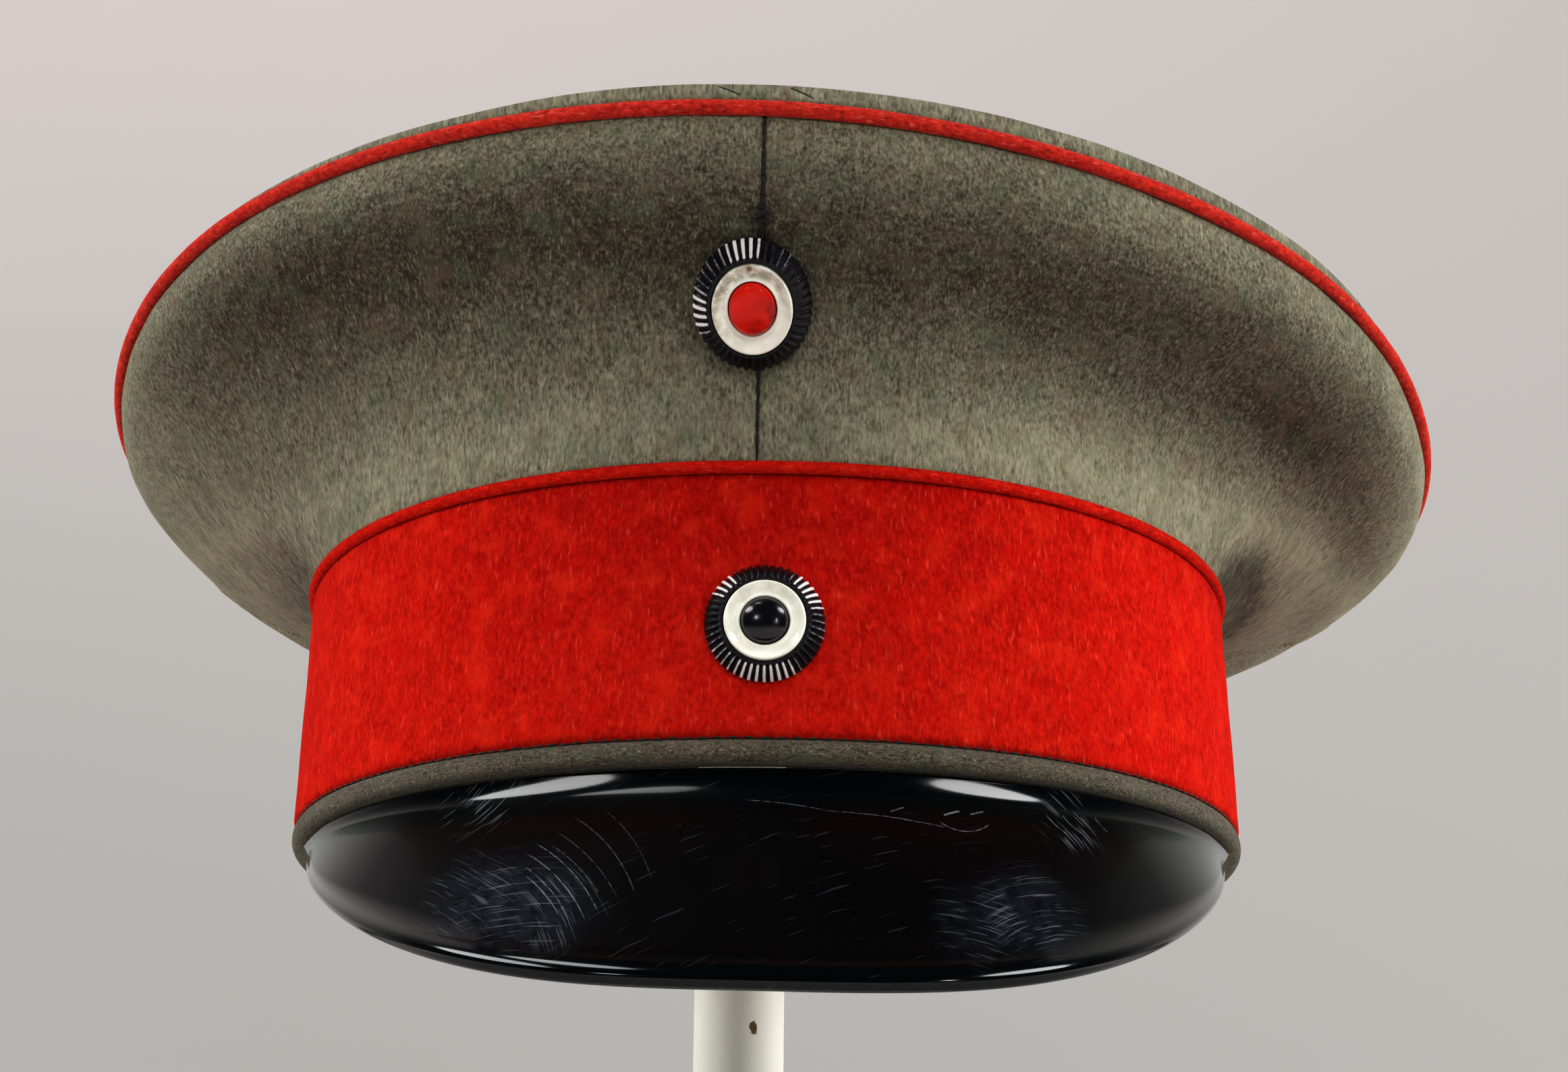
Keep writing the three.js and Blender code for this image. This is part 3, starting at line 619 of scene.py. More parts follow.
def lit_paper(name):
    """A paper wall lit from behind, brightest behind the cap and dim in front of it."""
    constants = {"Roughness": 1.0, "Specular IOR Level": 0.0, "Emission Strength": 1.0}
    constants["Base Color"] = rgb(40, 40, 40)
    material, start = start_material(name, constants)
    place = start.place()
    # Its glow is painted light: it brightens with height and from one side to the other.
    height = place.part("Z") + place.part("X") * (0.7 - place.part("Z") * 0.62)
    behind = height.near(0.1, 2.3).between(rgb(190, 190, 186), rgb(224, 216, 214))
    behind = (place.grain(2.2, 3) * 0.25).between(behind, rgb(202, 196, 194))
    colour = place.part("Y").near(0.0, 2.0).between(rgb(44, 44, 47), behind)
    return finish_material(material, Emission_Color=colour)


# ---- settings ----


def colour_setting(name, description, *screen):
    """A colour, whose default is given as 0 to 255 on a screen."""
    return FloatVectorProperty(
        name=name, description=description, subtype="COLOR", size=4, min=0, max=1, default=rgb(*screen)
    )


def length_setting(name, description, default):
    """A length, whose default is given in millimetres."""
    return FloatProperty(name=name, description=description, unit="LENGTH", default=default * MM)


def power_setting(name, default):
    """A light's power in watts."""
    return FloatProperty(name=name, description=f"Power of the {name.lower()}", unit="POWER", default=default)


class CapClothSettings(bpy.types.PropertyGroup):
    grey: colour_setting("Grey wool", "Colour of the crown", 156, 154, 130)
    red: colour_setting("Red wool", "Colour of the band", 207, 39, 22)
    unevenness: length_setting("Unevenness", "Depth of the cloth's soft dents", 0.35)
    fold: length_setting("Seam fold", "Radius of the cloth's fold at a seam", 0.7)


class CapVisorSettings(bpy.types.PropertyGroup):
    wall: length_setting("Wall", "Thickness of the visor", 2.2)
    bead: length_setting("Bead", "Height of the raised edge", 0.5)


class CapCockadeSettings(bpy.types.PropertyGroup):
    depth: length_setting("Flute depth", "Depth of a flute", 0.6)


class CapThreadSettings(bpy.types.PropertyGroup):
    pitch: length_setting("Pitch", "From stitch to stitch", 2.4)
    radius: length_setting("Thread radius", "Radius of a thread", 0.16)


class CapStageSettings(bpy.types.PropertyGroup):
    left: power_setting("Left softbox", 11.0)
    right: power_setting("Right softbox", 10.0)
    low_left: power_setting("Low left light", 15.0)
    low_right: power_setting("Low right light", 18.5)
    above: power_setting("High left light", 4.5)
    front: power_setting("Front light", 8.8)
    lamps: power_setting("Two small lamps", 1.5)  # each
    fill: FloatProperty(name="Fill", description="Strength of the even light all round", default=0.03)


# ---- cap: crown ----


class CAP_OT_crown(bpy.types.Operator):
    """Models the crown: four side panels with folded seams, and the rolled top"""

    bl_idname = "cap.crown"
    bl_label = "Crown"

    def execute(self, context):
        settings = context.scene.cap_cloth
        fold = settings.fold / MM
        dents = settings.unevenness / MM
        finish = wool(
            "grey wool", rgb(60, 53, 43), settings.grey, rgb(120, 103, 84), rgb(94, 104, 82),
            rgb(186, 182, 160), (2050.0, 1150.0), 0.08, 0.00016,
        )
        for name, start, end in zip(PANELS, SEAMS, SEAMS[1:]):
            self.panel(name, start, end, fold, dents, finish)
        self.top(dents, finish)
        return {"FINISHED"}

    def panel(self, name, start, end, fold, dents, finish):
        columns, rows = 130, 64
        tuck = 0.06

        def spot(u, v):
            along = mixed(-tuck, 1 + tuck, v)
            first = mixed(start.foot, start.rim, clamp(along))
            last = mixed(end.foot, end.rim, clamp(along))
            eased = u - 0.86 * math.sin(math.tau * u) / math.tau
            return mixed(first, last, eased), along, first, last

        def place(u, v):
            azimuth, along, first, last = spot(u, v)
            point = crown_face(azimuth, along)
            normal = crown_normal(azimuth, clamp(along))
            per_degree = math.radians(point.xy.length)
            from_seam = min(azimuth - first, last - azimuth) * per_degree
            soft = noise.noise(point / 26) + 0.35 * noise.noise(point / 9)
            pucker = math.sin(point.z * math.tau / 2.7) * 0.12 * math.exp(-from_seam / 2.2)
            lift = 0.3 * hump(from_seam, 1.9, 1.3) - 0.25 * math.exp(-from_seam / 5)
            relief = 0.4 * crown_shade_and_relief(azimuth, along) * clamp(along * 8)
            depth = rolled(from_seam, fold) * 1.6 - lift - pucker - dents * soft - relief
            return placed(point - normal * depth)

        middle = 180 * round((start.foot + end.foot) / 360)

        def pattern(u, v):
            azimuth, along, _, _ = spot(u, v)
            return (math.radians(azimuth - middle) * crown_face(azimuth, along).xy.length * MM, along * 0.06)

        # Painted light and shade for each point of the panel.
        def nap(column, row):
            azimuth, along, _, _ = spot(column / columns, row / rows)
            return [crown_shade_and_relief(azimuth, along)]

        bm = laid_sheet(columns, rows, place, pattern)
        painted(bm, columns, ["nap"], nap)
        make_piece(name + "_cloth", bm, finish, "grey_wool", [name], wall=2.0)

    def top(self, dents, finish):
        columns, rows = 400, 70
        last = len(TOP_ROWS) - 1

        def place(u, v):
            azimuth = 360 * u - 180
            point = top_face(azimuth, v * last)
            soft = noise.noise(point / 30) + 0.3 * noise.noise(point / 10)
            return placed(point + Vector((0, 0, dents * soft * clamp(v * 4 - 0.6))))

        def pattern(u, v):
            point = top_face(360 * u - 180, v * last)
            return (point.x * MM, point.y * MM - point.z * MM)

        bm = laid_sheet(columns, rows, place, pattern)
        bmesh.ops.remove_doubles(bm, verts=bm.verts, dist=1e-6)
        make_piece("crown_top_cloth", bm, finish, "grey_wool", ["crown_top"], wall=2.0)


# ---- cap: piping and band ----


class CAP_OT_band(bpy.types.Operator):
    """Models the piping, the red band, and the grey body that shows below it"""

    bl_idname = "cap.band"
    bl_label = "Band and piping"

    def execute(self, context):
        settings = context.scene.cap_cloth
        red = wool(
            "red wool", rgb(150, 10, 7), settings.red, rgb(214, 54, 28), rgb(190, 20, 12),
            rgb(238, 92, 68), (1450.0, 900.0), 0.0, 0.0003,
        )
        cord = wool(
            "red piping", rgb(128, 22, 18), rgb(222, 66, 50), rgb(190, 58, 36), rgb(166, 30, 30),
            rgb(238, 140, 118), (1900.0, 1200.0), 0.05, 0.0002,
        )
        grey = wool(
            "grey edge", rgb(26, 23, 18), rgb(122, 114, 98), rgb(116, 98, 80), rgb(88, 100, 82),
            rgb(190, 184, 164), (1700.0, 1200.0), 0.1, 0.0003,
        )
        self.cord(
            "crown_piping_cord", lambda a: rim_point(a) + Vector((0, 0, crown_value(a, "rim"))),
            1.15, cord, "crown_piping",
        )
        self.cord(
            "band_piping_cord",
            lambda a: oval(a, BAND_HIGH - Vector((0.1, 0.1))) + Vector((BAND_LEAN, 0, CORD_HEIGHT)),
            0.98, red, "band_piping",
        )
        self.band(red, settings.unevenness / MM)
        self.body(grey)
        return {"FINISHED"}

    def cord(self, name, middle, radius, finish, node):
        """A round cord that stands a little proud of the CAD's, so that no gap shows beside it."""

        def place(u, v):
            azimuth, angle = 360 * u - 180, math.tau * v
            centre = middle(azimuth)
            out = centre.xy.normalized()
            uneven = radius * (1.1 + 0.05 * noise.noise(Vector((u * 190, math.cos(angle), math.sin(angle)))))
            side = out * uneven * math.cos(angle)
            return placed(centre + Vector((side.x, side.y, uneven * math.sin(angle))))

        bm = laid_sheet(480, 14, place, lambda u, v: (v * 0.008, u * 0.8))
        make_piece(name, joined_up(bm), finish, "red_piping", [node])

    def band(self, finish, dents):
        columns, rows = 460, 34
        low, high = EDGE_HEIGHT + 0.1, BAND_TOP + 0.8

        def place(u, v):
            azimuth = mixed(-179.97, 179.97, u)
            height = mixed(low, high, v)
            edge = min(height - low, high - height)
            point = band_line(azimuth, height, rolled(edge, 0.5))
            out = Vector((point.x / BAND_LOW.x**2, point.y / BAND_LOW.y**2, 0)).normalized()
            soft = noise.noise(point / 22) + 0.4 * noise.noise(point / 7)
            return placed(point + out * dents * 0.7 * soft * clamp(edge / 4))

        # Painted shade on the band: darker at its upper front, the shadow under the crown's overhang, and along
        # its top, the shade under the piping.
        def nap(column, row):
            azimuth, up = column / columns * 360 - 180, row / rows
            return [-0.8 * hump(azimuth, 0, 34) * clamp(up * 1.6 - 0.3) - 0.4 * clamp(up * 12 - 11)]

        bm = laid_sheet(columns, rows, place, lambda u, v: (u * BAND_ROUND * MM, v * 0.043))
        painted(bm, columns, ["nap"], nap)
        make_piece("band_cloth", bm, finish, "red_wool", ["band"], wall=1.6)

    def body(self, finish):
        inside = 3.2
        outline = table(
            "Outline", "up depth",
            (0.0, inside), (0.0, 2.0), (0.25, 0.75), (1.1, 0.05), (2.4, -0.05), (3.5, 0.35), (4.2, 1.2),
            (4.6, 1.9), (14.0, 1.9), (BAND_TOP + 2.5, 1.9), (BAND_TOP + 2.5, inside), (20.0, inside),
            (0.0, inside),
        )
        last = len(outline) - 1

        def place(u, v):
            azimuth = 360 * u - 180
            up = through(outline, v * last, "up")
            return placed(band_line(azimuth, up, through(outline, v * last, "depth")))

        bm = laid_sheet(400, last * 4, place, lambda u, v: (u * BAND_ROUND * MM, v * 0.05))
        make_piece("band_body_cloth", joined_up(bm), finish, "grey_wool", ["band_body"])


# ---- cap: visor ----


class CAP_OT_visor(bpy.types.Operator):
    """Models the lacquered visor with its beaded edge and the strip sewn under the band"""

    bl_idname = "cap.visor"
    bl_label = "Visor"

    def execute(self, context):
        settings = context.scene.cap_visor
        wall, bead = settings.wall / MM, settings.bead / MM
        columns, face_rows, rim_rows = 220, 40, 10
        rows = 2 * face_rows + rim_rows + 3
        inset = BAND_LOW - Vector((VISOR_INSET, VISOR_INSET))
        flange = inset - Vector((VISOR_FLANGE, VISOR_FLANGE))
        corner = oval(VISOR_CORNER, inset)

        def edge(across):
            turn = across * math.pi / 2
            fore = max(0.0, math.cos(turn))
            point = Vector(
                (
                    (corner.x - 2) * signed_power(math.sin(turn), 0.64),
                    corner.y + (EDGE_FRONT - corner.y) * fore**1.4,
                    EDGE_TOP + (EDGE_DROP - EDGE_TOP) * fore**1.5,
                )
            )
            point.z += EDGE_SKEW * point.x * fore
            return point, fore

        def face(across, down):
            azimuth = across * VISOR_CORNER
            root = oval(azimuth, inset) + Vector((0, 0, VISOR_TOP))
            point, fore = edge(across)
            chord = point - root
            along = Vector((chord.x, chord.y, 0)).normalized()
            outward = Vector((-along.x * chord.z, -along.y * chord.z, chord.xy.length)).normalized()
            off = table_value(FACE_ROWS, down, "down", "off") * fore * (2 - fore)
            return root + chord * down + outward * off

        def normal(across, down):
            a = face(across + 0.004, down) - face(across - 0.004, down)
            d = face(across, min(1, down + 0.01)) - face(across, max(0, down - 0.01))
            return d.cross(a).normalized()

        radius = (wall + bead) / 2

        def section(across, k):
            if k == 0 or k == rows:
                return oval(across * VISOR_CORNER, flange) + Vector((0, 0, VISOR_TOP))
            k -= 1
            last = 1 - radius / (face(across, 1) - face(across, 0)).length
            if k <= face_rows:
                down = last * (k / face_rows) ** 1.2
                swell = bead * hump(down, last, 0.035)
                return face(across, down) + normal(across, down) * swell
            k -= face_rows
            if k <= rim_rows:
                turn = math.pi * k / rim_rows
                n = normal(across, last)
                ahead = (face(across, 1) - face(across, last)).normalized()
                middle = face(across, last) + n * (bead - radius)
                return middle + n * radius * math.cos(turn) + ahead * radius * math.sin(turn)
            k -= rim_rows
            down = clamp(last - k / (face_rows + 1), 0.02)
            point = face(across, down) - normal(across, down) * wall
            point.z = min(point.z, VISOR_TOP - wall) if down < 0.3 else point.z
            return point

        def place(u, v):
            return placed(section(2 * u - 1, round(v * rows)))

        def finish_at(column, row):
            sideways = abs(2 * column / columns - 1)
            end = clamp((sideways - 0.5) / 0.38)
            down = clamp((row - 1) / face_rows) ** 1.2
            root = clamp(1.6 - down / (0.05 + 0.16 * sideways))
            seen = 1 - clamp((row - 1 - face_rows) / rim_rows)
            gloss = max(root, clamp((down - 0.84) / 0.1), end * 0.5) * seen
            # The grey painted reflection at the ends.
            dusty = end**1.5 * clamp((down - 0.05) / 0.2) * seen
            return clamp((row - face_rows - rim_rows) / 3), gloss, dusty

        bm = laid_sheet(columns, rows, place, lambda u, v: ((u - 0.5) * 0.21, v * 0.1))
        painted(bm, columns, ["under", "gloss", "dusty"], finish_at)
        bmesh.ops.remove_doubles(bm, verts=bm.verts, dist=1e-6)
        bmesh.ops.holes_fill(bm, edges=[e for e in bm.edges if e.is_boundary])
        bmesh.ops.recalc_face_normals(bm, faces=bm.faces)
        make_piece("visor_lacquer", bm, lacquer("black lacquer"), "black_lacquer", ["visor"])
        return {"FINISHED"}


# ---- cap: cockades ----

# Painted highlights on each rim's flutes: each turn is clockwise from the top, in degrees, with half its spread
# and how bright its ridges are painted.
Worn = namedtuple("Worn", "turn spread share")
Cockade = namedtuple("Cockade", "name x height tall seat boss slot flutes smooth worn")
COCKADES = [
    Cockade(
        "upper_cockade", -1.75, 74.4, 1.2, 2.7, "red enamel", "red_enamel", 44, (95, 62),
        [Worn(-8, 24, 1.0), Worn(-94, 24, 1.0), Worn(-50, 18, 0.5), Worn(38, 16, 0.5), Worn(-150, 30, 0.25)],
    ),
    Cockade(
        "lower_cockade", 0, 22.2, 1, 0.5, "black enamel", "black_enamel", 48, (270, 0),
        [Worn(-48, 20, 0.9), Worn(52, 24, 1.0), Worn(180, 46, 0.9), Worn(100, 26, 0.5), Worn(-110, 26, 0.5)],
    ),
]


def turned_by(a, b):
    """The angle between two directions, in degrees."""
    return abs((a - b + 180) % 360 - 180)


def cockade_frame(cockade):
    """The frame of a cockade: its origin on the cloth, Z away from it and Y up."""
    on_band = cockade.height < BAND_TOP
    half = BAND_LOW.x if on_band else CROWN_FOOT.x
    azimuth = math.degrees(math.asin(cockade.x / half))
    if on_band:
        point = band_line(azimuth, cockade.height, 0)
        normal = point - band_line(azimuth, cockade.height, 1)
        normal.z = 0.01
    else:
        along = along_at(azimuth, cockade.height)
        point = crown_face(azimuth, along)
        normal = crown_normal(azimuth, along)
    normal.normalize()
    side = Vector((0, 0, 1)).cross(normal).normalized()
    up = normal.cross(side)
    turn = Matrix((side, up, normal)).transposed().to_4x4()
    return Matrix.Translation(CAP_AT) @ Matrix.Scale(MM, 4) @ Matrix.Translation(point) @ turn


class CAP_OT_cockades(bpy.types.Operator):
    """Models the two cockades: fluted rim, dished ring and domed boss"""

    bl_idname = "cap.cockades"
    bl_label = "Cockades"

    def execute(self, context):
        settings = context.scene.cap_cockade
        black = enamel("black enamel", rgb(12, 10, 17), rgb(222, 216, 216), rgb(30, 25, 34), 0.3, gloss=0.2)
        white = enamel("white enamel", rgb(250, 249, 236), rgb(150, 122, 92), rgb(146, 144, 116), 0.35, 0.8)
        red = enamel("red enamel", rgb(222, 36, 18), rgb(236, 150, 120), rgb(120, 14, 8), 0.2, 0.9, 0.12)
        glossy = enamel("black glaze", rgb(14, 12, 18), rgb(60, 56, 60), rgb(24, 20, 28), 0.1)
        metal = bright_metal("pin metal")
        for cockade in COCKADES:
            matrix = cockade_frame(cockade) @ Matrix.Diagonal((1, cockade.tall, 1, 1))
            base = cockade.seat
            self.rim(cockade, base, matrix, black, settings.depth / MM)
            self.ring(cockade, base + 1.0, matrix, white)
            boss = red if cockade.boss == "red enamel" else glossy
            self.boss(cockade, base + 1.0, matrix, boss)
            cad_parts[cockade.name + "_pin"].data.materials.clear()
            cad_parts[cockade.name + "_pin"].data.materials.append(metal)
        return {"FINISHED"}

    def rim(self, cockade, base, matrix, finish, depth):
        outer, inner = 9.6, 6.75
        profile = [(0, 0), (outer - 0.5, 0), (outer - 0.1, 0.15), (outer, 0.4)]
        for k in range(1, 12):
            t = k / 11
            profile.append((mixed(outer, inner, t), 0.4 + 2.0 * math.sin(t * math.pi / 2) ** 0.9))
        profile += [(inner - 0.1, 2.2), (inner - 0.12, 0.8), (0, 0.8)]
        bm = spun(profile, cockade.flutes * 10, base)
        wear = bm.verts.layers.float.new("wear")
        for vert in bm.verts:
            r = vert.co.xy.length
            if r < inner - 0.05 or vert.co.z < base + 0.1:
                continue
            turn = math.atan2(vert.co.x, vert.co.y)
            valley = 0.5 - 0.5 * math.cos(cockade.flutes * turn)
            reach = clamp((r - inner - 0.25) / 0.5) * clamp((vert.co.z - base) / 0.4)
            degrees = math.degrees(turn)
            smooth, spread = cockade.smooth
            held = clamp((spread + 12 - turned_by(degrees, smooth)) / 24) if spread else 0.0
            # Painted highlights: ridges turned toward the lamps are paled as if worn.
            bright = sum(w.share * clamp(1.4 - turned_by(degrees, w.turn) / w.spread) for w in cockade.worn)
            vert[wear] = clamp(bright) * (1 - valley) * reach
            vert.co.z -= depth * valley**2 * reach * (1 - 0.6 * held)
            vert.co.xy *= 1 - 0.02 * valley * clamp((r - 9) / 0.6)
        self.settle(cockade, "rim", bm, matrix, finish, "black_enamel")

    def ring(self, cockade, base, matrix, finish):
        outer, inner = 6.5, 3.9
        profile = [(inner, 0), (outer, 0), (outer, 0.9), (outer - 0.06, 1.5), (outer - 0.25, 1.66)]
        profile += [(outer - 0.45, 1.6), (outer - 1.0, 1.2), (outer - 1.5, 0.95), (inner + 0.75, 0.86)]
        profile += [(inner + 0.5, 0.98), (inner + 0.28, 1.16), (inner + 0.1, 1.1), (inner, 0.8), (inner, 0)]
        bm = spun(profile, 96, base)
        wear = bm.verts.layers.float.new("wear")
        patina = bm.verts.layers.float.new("patina")
        aged = 1.0 if cockade.height > BAND_TOP else 0.25
        for vert in bm.verts:
            r = vert.co.xy.length
            # The ring's upper left is darker: partly a stain, partly painted shade where its dish faces away
            # from the lamps.
            high = clamp(0.55 + 0.6 * (vert.co.y - 0.5 * vert.co.x) / outer)
            vert[patina] = aged * high * clamp((r - inner - 0.3) / 0.4)
            dot = math.hypot(vert.co.x + 0.3, vert.co.y - 5.9)
            vert[wear] = aged * clamp(1.3 - dot / 0.7)
        self.settle(cockade, "ring", bm, matrix, finish, "white_enamel")

    def boss(self, cockade, base, matrix, finish):
        radius, foot, dome = 3.75, 0.9, 1.9
        profile = [(0, 0.9), (2.5, 0.9), (2.5, 0), (radius, 0), (radius, foot)]
        for k in range(1, 15):
            turn = math.pi / 2 * k / 14
            profile.append((radius * math.cos(turn), foot + dome * math.sin(turn)))
        profile[-1] = (0, foot + dome)
        bm = spun(profile, 72, base)
        patina = bm.verts.layers.float.new("patina")
        # Painted shade: the boss is darker to its right and below.
        for vert in bm.verts:
            vert[patina] = clamp(0.1 + 0.9 * (vert.co.x - 0.4 * vert.co.y) / radius)
        self.settle(cockade, "boss", bm, matrix, finish, cockade.slot)

    def settle(self, cockade, part, bm, matrix, finish, slot):
        bmesh.ops.transform(bm, matrix=matrix, verts=bm.verts)
        bmesh.ops.recalc_face_normals(bm, faces=bm.faces)
        name = f"{cockade.name}_{part}"
        make_piece(name + "_enamel", bm, finish, slot, [name])


# ---- cap: stitches ----


SEAM_STEP = 0.034  # from knot to knot up the front seam, as a share of the crown's side
CROSSED_AT = (84.3, 83.4)  # heights of the two pairs of crossed stitches


class CAP_OT_stitches(bpy.types.Operator):
    """Sews the front seam, the strip under the band and the loose stitches at the rim"""

    bl_idname = "cap.stitches"
    bl_label = "Stitches"

    def execute(self, context):
        settings = context.scene.cap_thread
        pitch, radius = settings.pitch / MM, settings.radius / MM
        dark = thread("dark thread", rgb(12, 10, 7), rgb(36, 30, 22))
        self.seam(dark, radius)
        self.strip(dark, pitch, radius)
        return {"FINISHED"}

    def stitch(self, bm, start, end, radius):
        """One stitch as a long round grain from start to end."""
        middle = placed((start + end) / 2)
        length = (end - start).length / 2
        turn = (end - start).to_track_quat("Z", "Y").to_matrix().to_4x4()
        size = Matrix.Diagonal((radius * MM, radius * MM, length * MM, 1))
        bmesh.ops.create_uvsphere(
            bm, u_segments=6, v_segments=5, radius=1, matrix=Matrix.Translation(middle) @ turn @ size
        )

    def seam(self, finish, radius):
        """The front seam's knotty stitches, two pairs that cross above the cockade, and two on the roll."""
        bm = bmesh.new()
        rng = random.Random(3)
        seam = SEAMS[2]
        along = 0.02
        while along < 0.98:
            azimuth = mixed(seam.foot, seam.rim, along)
            a, b = (crown_face(azimuth, t) for t in (along, along + rng.uniform(0.03, 0.042)))
            sink = crown_normal(azimuth, along) * -0.35
            sway = Vector((rng.uniform(-0.22, 0.22), 0, 0))
            self.stitch(bm, a + sink + sway, b + sink - sway, radius * rng.uniform(1.9, 2.5))
            along += SEAM_STEP
        for height in CROSSED_AT:
            along = along_at(seam.rim, height)
            peak = crown_face(seam.rim, along) + crown_normal(seam.rim, along) * 0.5
            for side in (-1, 1):
                self.stitch(bm, peak, peak + Vector((1.5 * side, 0.78, -0.6)), radius * 2.8)
        for side in (-1, 1):
            azimuth = seam.rim + side * 2.6
            a, b = (top_face(azimuth + lean, row) for lean, row in ((0.9, 2.2), (-0.9, 3.4)))
            self.stitch(bm, a, b, radius * 1.6)
        make_piece("front_seam_thread", bm, finish, "grey_wool")

    def strip(self, finish, pitch, radius):
        """Small dark stitches where the red band meets the grey edge."""
        bm = bmesh.new()
        count = int(BAND_ROUND / pitch)
        rng = random.Random(5)
        for k in range(count):
            azimuth = 360 * k / count - 180
            half = 130 / BAND_ROUND * pitch  # in degrees, and about a third of the pitch
            height = EDGE_HEIGHT + 0.15 + rng.uniform(-0.08, 0.08)
            a, b = (band_line(azimuth + side * half, height, 0.45) for side in (-1, 1))
            self.stitch(bm, a, b, radius)
        make_piece("band_edge_thread", bm, finish, "grey_wool")


# ---- stand ----


class CAP_OT_stand(bpy.types.Operator):
    """Turns the stand: foot, post and head, with softened edges"""

    bl_idname = "cap.stand"
    bl_label = "Stand"

    def execute(self, context):
        finish = paint("off-white paint")
        low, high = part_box("stand_base")
        radius, top = high.x, high.z
        plate = 0.015
        bore = 0.0088
        socket = 0.008
        base = [(0, 0), (radius - 0.0022, 0), (radius - 0.0006, 0.0006), (radius, 0.0022)]
        base += [(radius, plate - 0.0055), (radius - 0.0012, plate - 0.0018), (radius - 0.0045, plate)]
        base += [(0.0225, plate), (0.0185, plate + 0.0008), (0.0162, plate + 0.003), (0.0151, top - 0.0012)]
        base += [(0.0139, top), (bore + 0.0005, top), (bore, top - 0.0005)]
        base += [(bore, top - socket), (0, top - socket)]
        self.turn("stand_base", base, finish)
        low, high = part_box("stand_post")
        self.turn("stand_post", [(0, low.z), (high.x, low.z), (high.x, high.z), (0, high.z)], finish)
        low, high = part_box("stand_head")
        head = [(0, low.z + socket), (bore, low.z + socket), (bore, low.z), (high.x - 0.0035, low.z)]
        head += [(high.x - 0.0012, low.z + 0.0006), (high.x - 0.0002, low.z + 0.0022)]
        drop = 0.0078
        head += [
            (high.x * math.cos(turn), high.z - drop + drop * math.sin(turn))
            for turn in (math.pi / 2 * k / 12 for k in range(13))
        ]
        head[-1] = (0, high.z)
        self.turn("stand_head", head, finish)
        return {"FINISHED"}

    def turn(self, name, profile, finish):
        bm = spun(profile, 128)
        piece = make_piece(name + "_turned", bm, finish, "stand_white", [name])
        bevel = piece.modifiers.new("Softened", "BEVEL")
        bevel.width, bevel.segments, bevel.limit_method = 0.0006, 3, "ANGLE"
        bevel.angle_limit = math.radians(35)


# ---- stage ----


# Each light stands 1.5 m from the cap and faces it. Some are left out of reflections. Its power is a setting.
LIGHTS = table(
    "Light", "name azimuth elevation width height setting reflected",
    ("left softbox", -70, 42, 1.1, 0.45, "left", True),
    ("high left light", -58, 66, 0.8, 0.3, "above", True),
    ("right softbox", 67, 40, 0.8, 0.45, "right", True),
    ("low left light", -100, 5, 0.7, 0.7, "low_left", False),
    ("low right light", 98, 5, 0.7, 0.7, "low_right", False),
    ("front light", 12, 20, 0.8, 0.8, "front", False),
    ("left lamp", -22, 16, 0.2, 0.2, "lamps", True),
    ("right lamp", 32, 8, 0.1, 0.28, "lamps", True),
)
LIGHT_DISTANCE = 1.5
LIGHTS_FACE = Vector((0, -0.08, 0.04))  # from the cap
CAMERA_AT = Vector((0.0027, -0.51, -0.0865))  # from the cap
CAMERA_PITCH, CAMERA_ROLL, CAMERA_LENS = 0.295, 0.009, 61.39


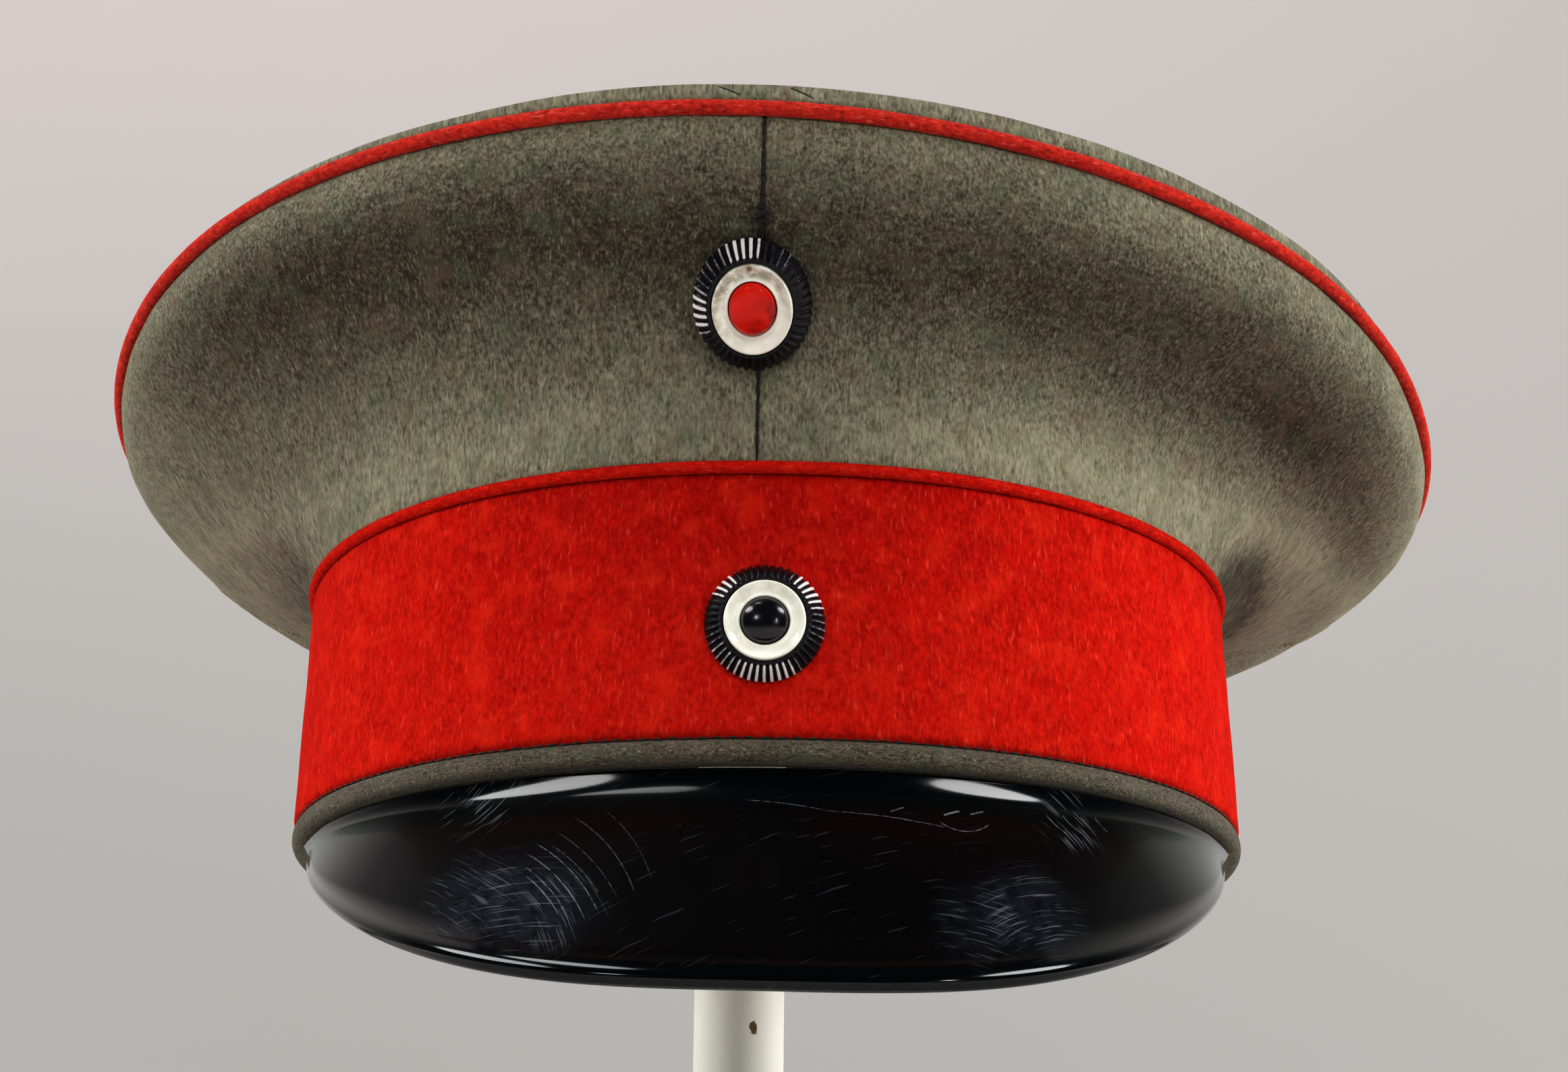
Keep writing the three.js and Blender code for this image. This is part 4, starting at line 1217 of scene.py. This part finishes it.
class CAP_OT_stage(bpy.types.Operator):
    """Sets the floor, the backdrop, the soft lights and the camera"""

    bl_idname = "cap.stage"
    bl_label = "Stage"

    def execute(self, context):
        settings = context.scene.cap_stage
        self.surfaces()
        for light in LIGHTS:
            self.light(light, CAP_AT + LIGHTS_FACE, getattr(settings, light.setting))
        world = bpy.data.worlds.new("studio")
        context.scene.world = world
        world.use_nodes = True
        background = world.node_tree.nodes["Background"]
        background.inputs["Color"].default_value = rgb(226, 224, 226)
        background.inputs["Strength"].default_value = settings.fill
        self.camera(context)
        context.scene.view_settings.view_transform = "Standard"
        context.scene.view_settings.gamma = 0.8
        return {"FINISHED"}

    def surfaces(self):
        floor = bmesh.new()
        bmesh.ops.create_grid(floor, x_segments=1, y_segments=1, size=4)
        self.stage_piece("floor", floor, matt_paper("pale floor"))
        wall = bmesh.new()
        radius, height = 2.6, 4.8
        matrix = Matrix.Translation((0, 0, height / 2))
        bmesh.ops.create_cone(wall, segments=96, radius1=radius, radius2=radius, depth=height, matrix=matrix)
        self.stage_piece("backdrop", wall, lit_paper("lit backdrop")).visible_diffuse = False

    def stage_piece(self, name, bm, finish):
        made = meshed(name, bm, finish)
        return made

    def light(self, light, target, power):
        lamp = bpy.data.lights.new(light.name, "AREA")
        lamp.shape, lamp.size, lamp.size_y = "ELLIPSE", light.width, light.height
        lamp.energy = power
        a, e = math.radians(light.azimuth), math.radians(light.elevation)
        back = Vector((math.sin(a) * math.cos(e), -math.cos(a) * math.cos(e), math.sin(e)))
        made = added(light.name, lamp)
        made.location = target + back * LIGHT_DISTANCE
        made.rotation_mode = "QUATERNION"
        made.rotation_quaternion = back.to_track_quat("Z", "Y")
        made.visible_camera = False
        made.visible_glossy = light.reflected

    def camera(self, context):
        lens = bpy.data.cameras.new("camera")
        lens.lens = CAMERA_LENS
        lens.clip_start = 0.02
        made = added("camera", lens)
        pitch = math.radians(90) + CAMERA_PITCH
        tilt = Matrix.Rotation(pitch, 4, "X") @ Matrix.Rotation(CAMERA_ROLL, 4, "Z")
        made.matrix_world = Matrix.Translation(CAP_AT + CAMERA_AT) @ tilt
        context.scene.camera = made


# ---- panel and registration ----


class CAP_PT_sidebar(bpy.types.Panel):
    """Lists the settings and the operators"""

    bl_label = "Visor cap"
    bl_idname = "CAP_PT_sidebar"
    bl_space_type = "VIEW_3D"
    bl_region_type = "UI"
    bl_category = "Cap"

    def draw(self, context):
        for group, operators in STEPS.items():
            settings = getattr(context.scene, group)
            box = self.layout.box()
            for name in settings.__annotations__:
                box.prop(settings, name)
            for operator in operators:
                box.operator(operator.bl_idname)


SETTINGS = {
    "cap_cloth": CapClothSettings,
    "cap_visor": CapVisorSettings,
    "cap_cockade": CapCockadeSettings,
    "cap_thread": CapThreadSettings,
    "cap_stage": CapStageSettings,
}
STEPS = {
    "cap_cloth": [CAP_OT_crown, CAP_OT_band],
    "cap_visor": [CAP_OT_visor],
    "cap_cockade": [CAP_OT_cockades],
    "cap_thread": [CAP_OT_stitches],
    "cap_stage": [CAP_OT_stand, CAP_OT_stage],
}
CLASSES = [*SETTINGS.values(), *(c for group in STEPS.values() for c in group), CAP_PT_sidebar]


def register():
    for cls in CLASSES:
        bpy.utils.register_class(cls)
    for name, group in SETTINGS.items():
        setattr(bpy.types.Scene, name, PointerProperty(type=group))


def unregister():
    for name in SETTINGS:
        delattr(bpy.types.Scene, name)
    for cls in reversed(CLASSES):
        bpy.utils.unregister_class(cls)


def main():
    register()
    bpy.ops.cap.crown()
    bpy.ops.cap.band()
    bpy.ops.cap.visor()
    bpy.ops.cap.cockades()
    bpy.ops.cap.stitches()
    bpy.ops.cap.stand()
    bpy.ops.cap.stage()


if __name__ == "__main__":
    main()
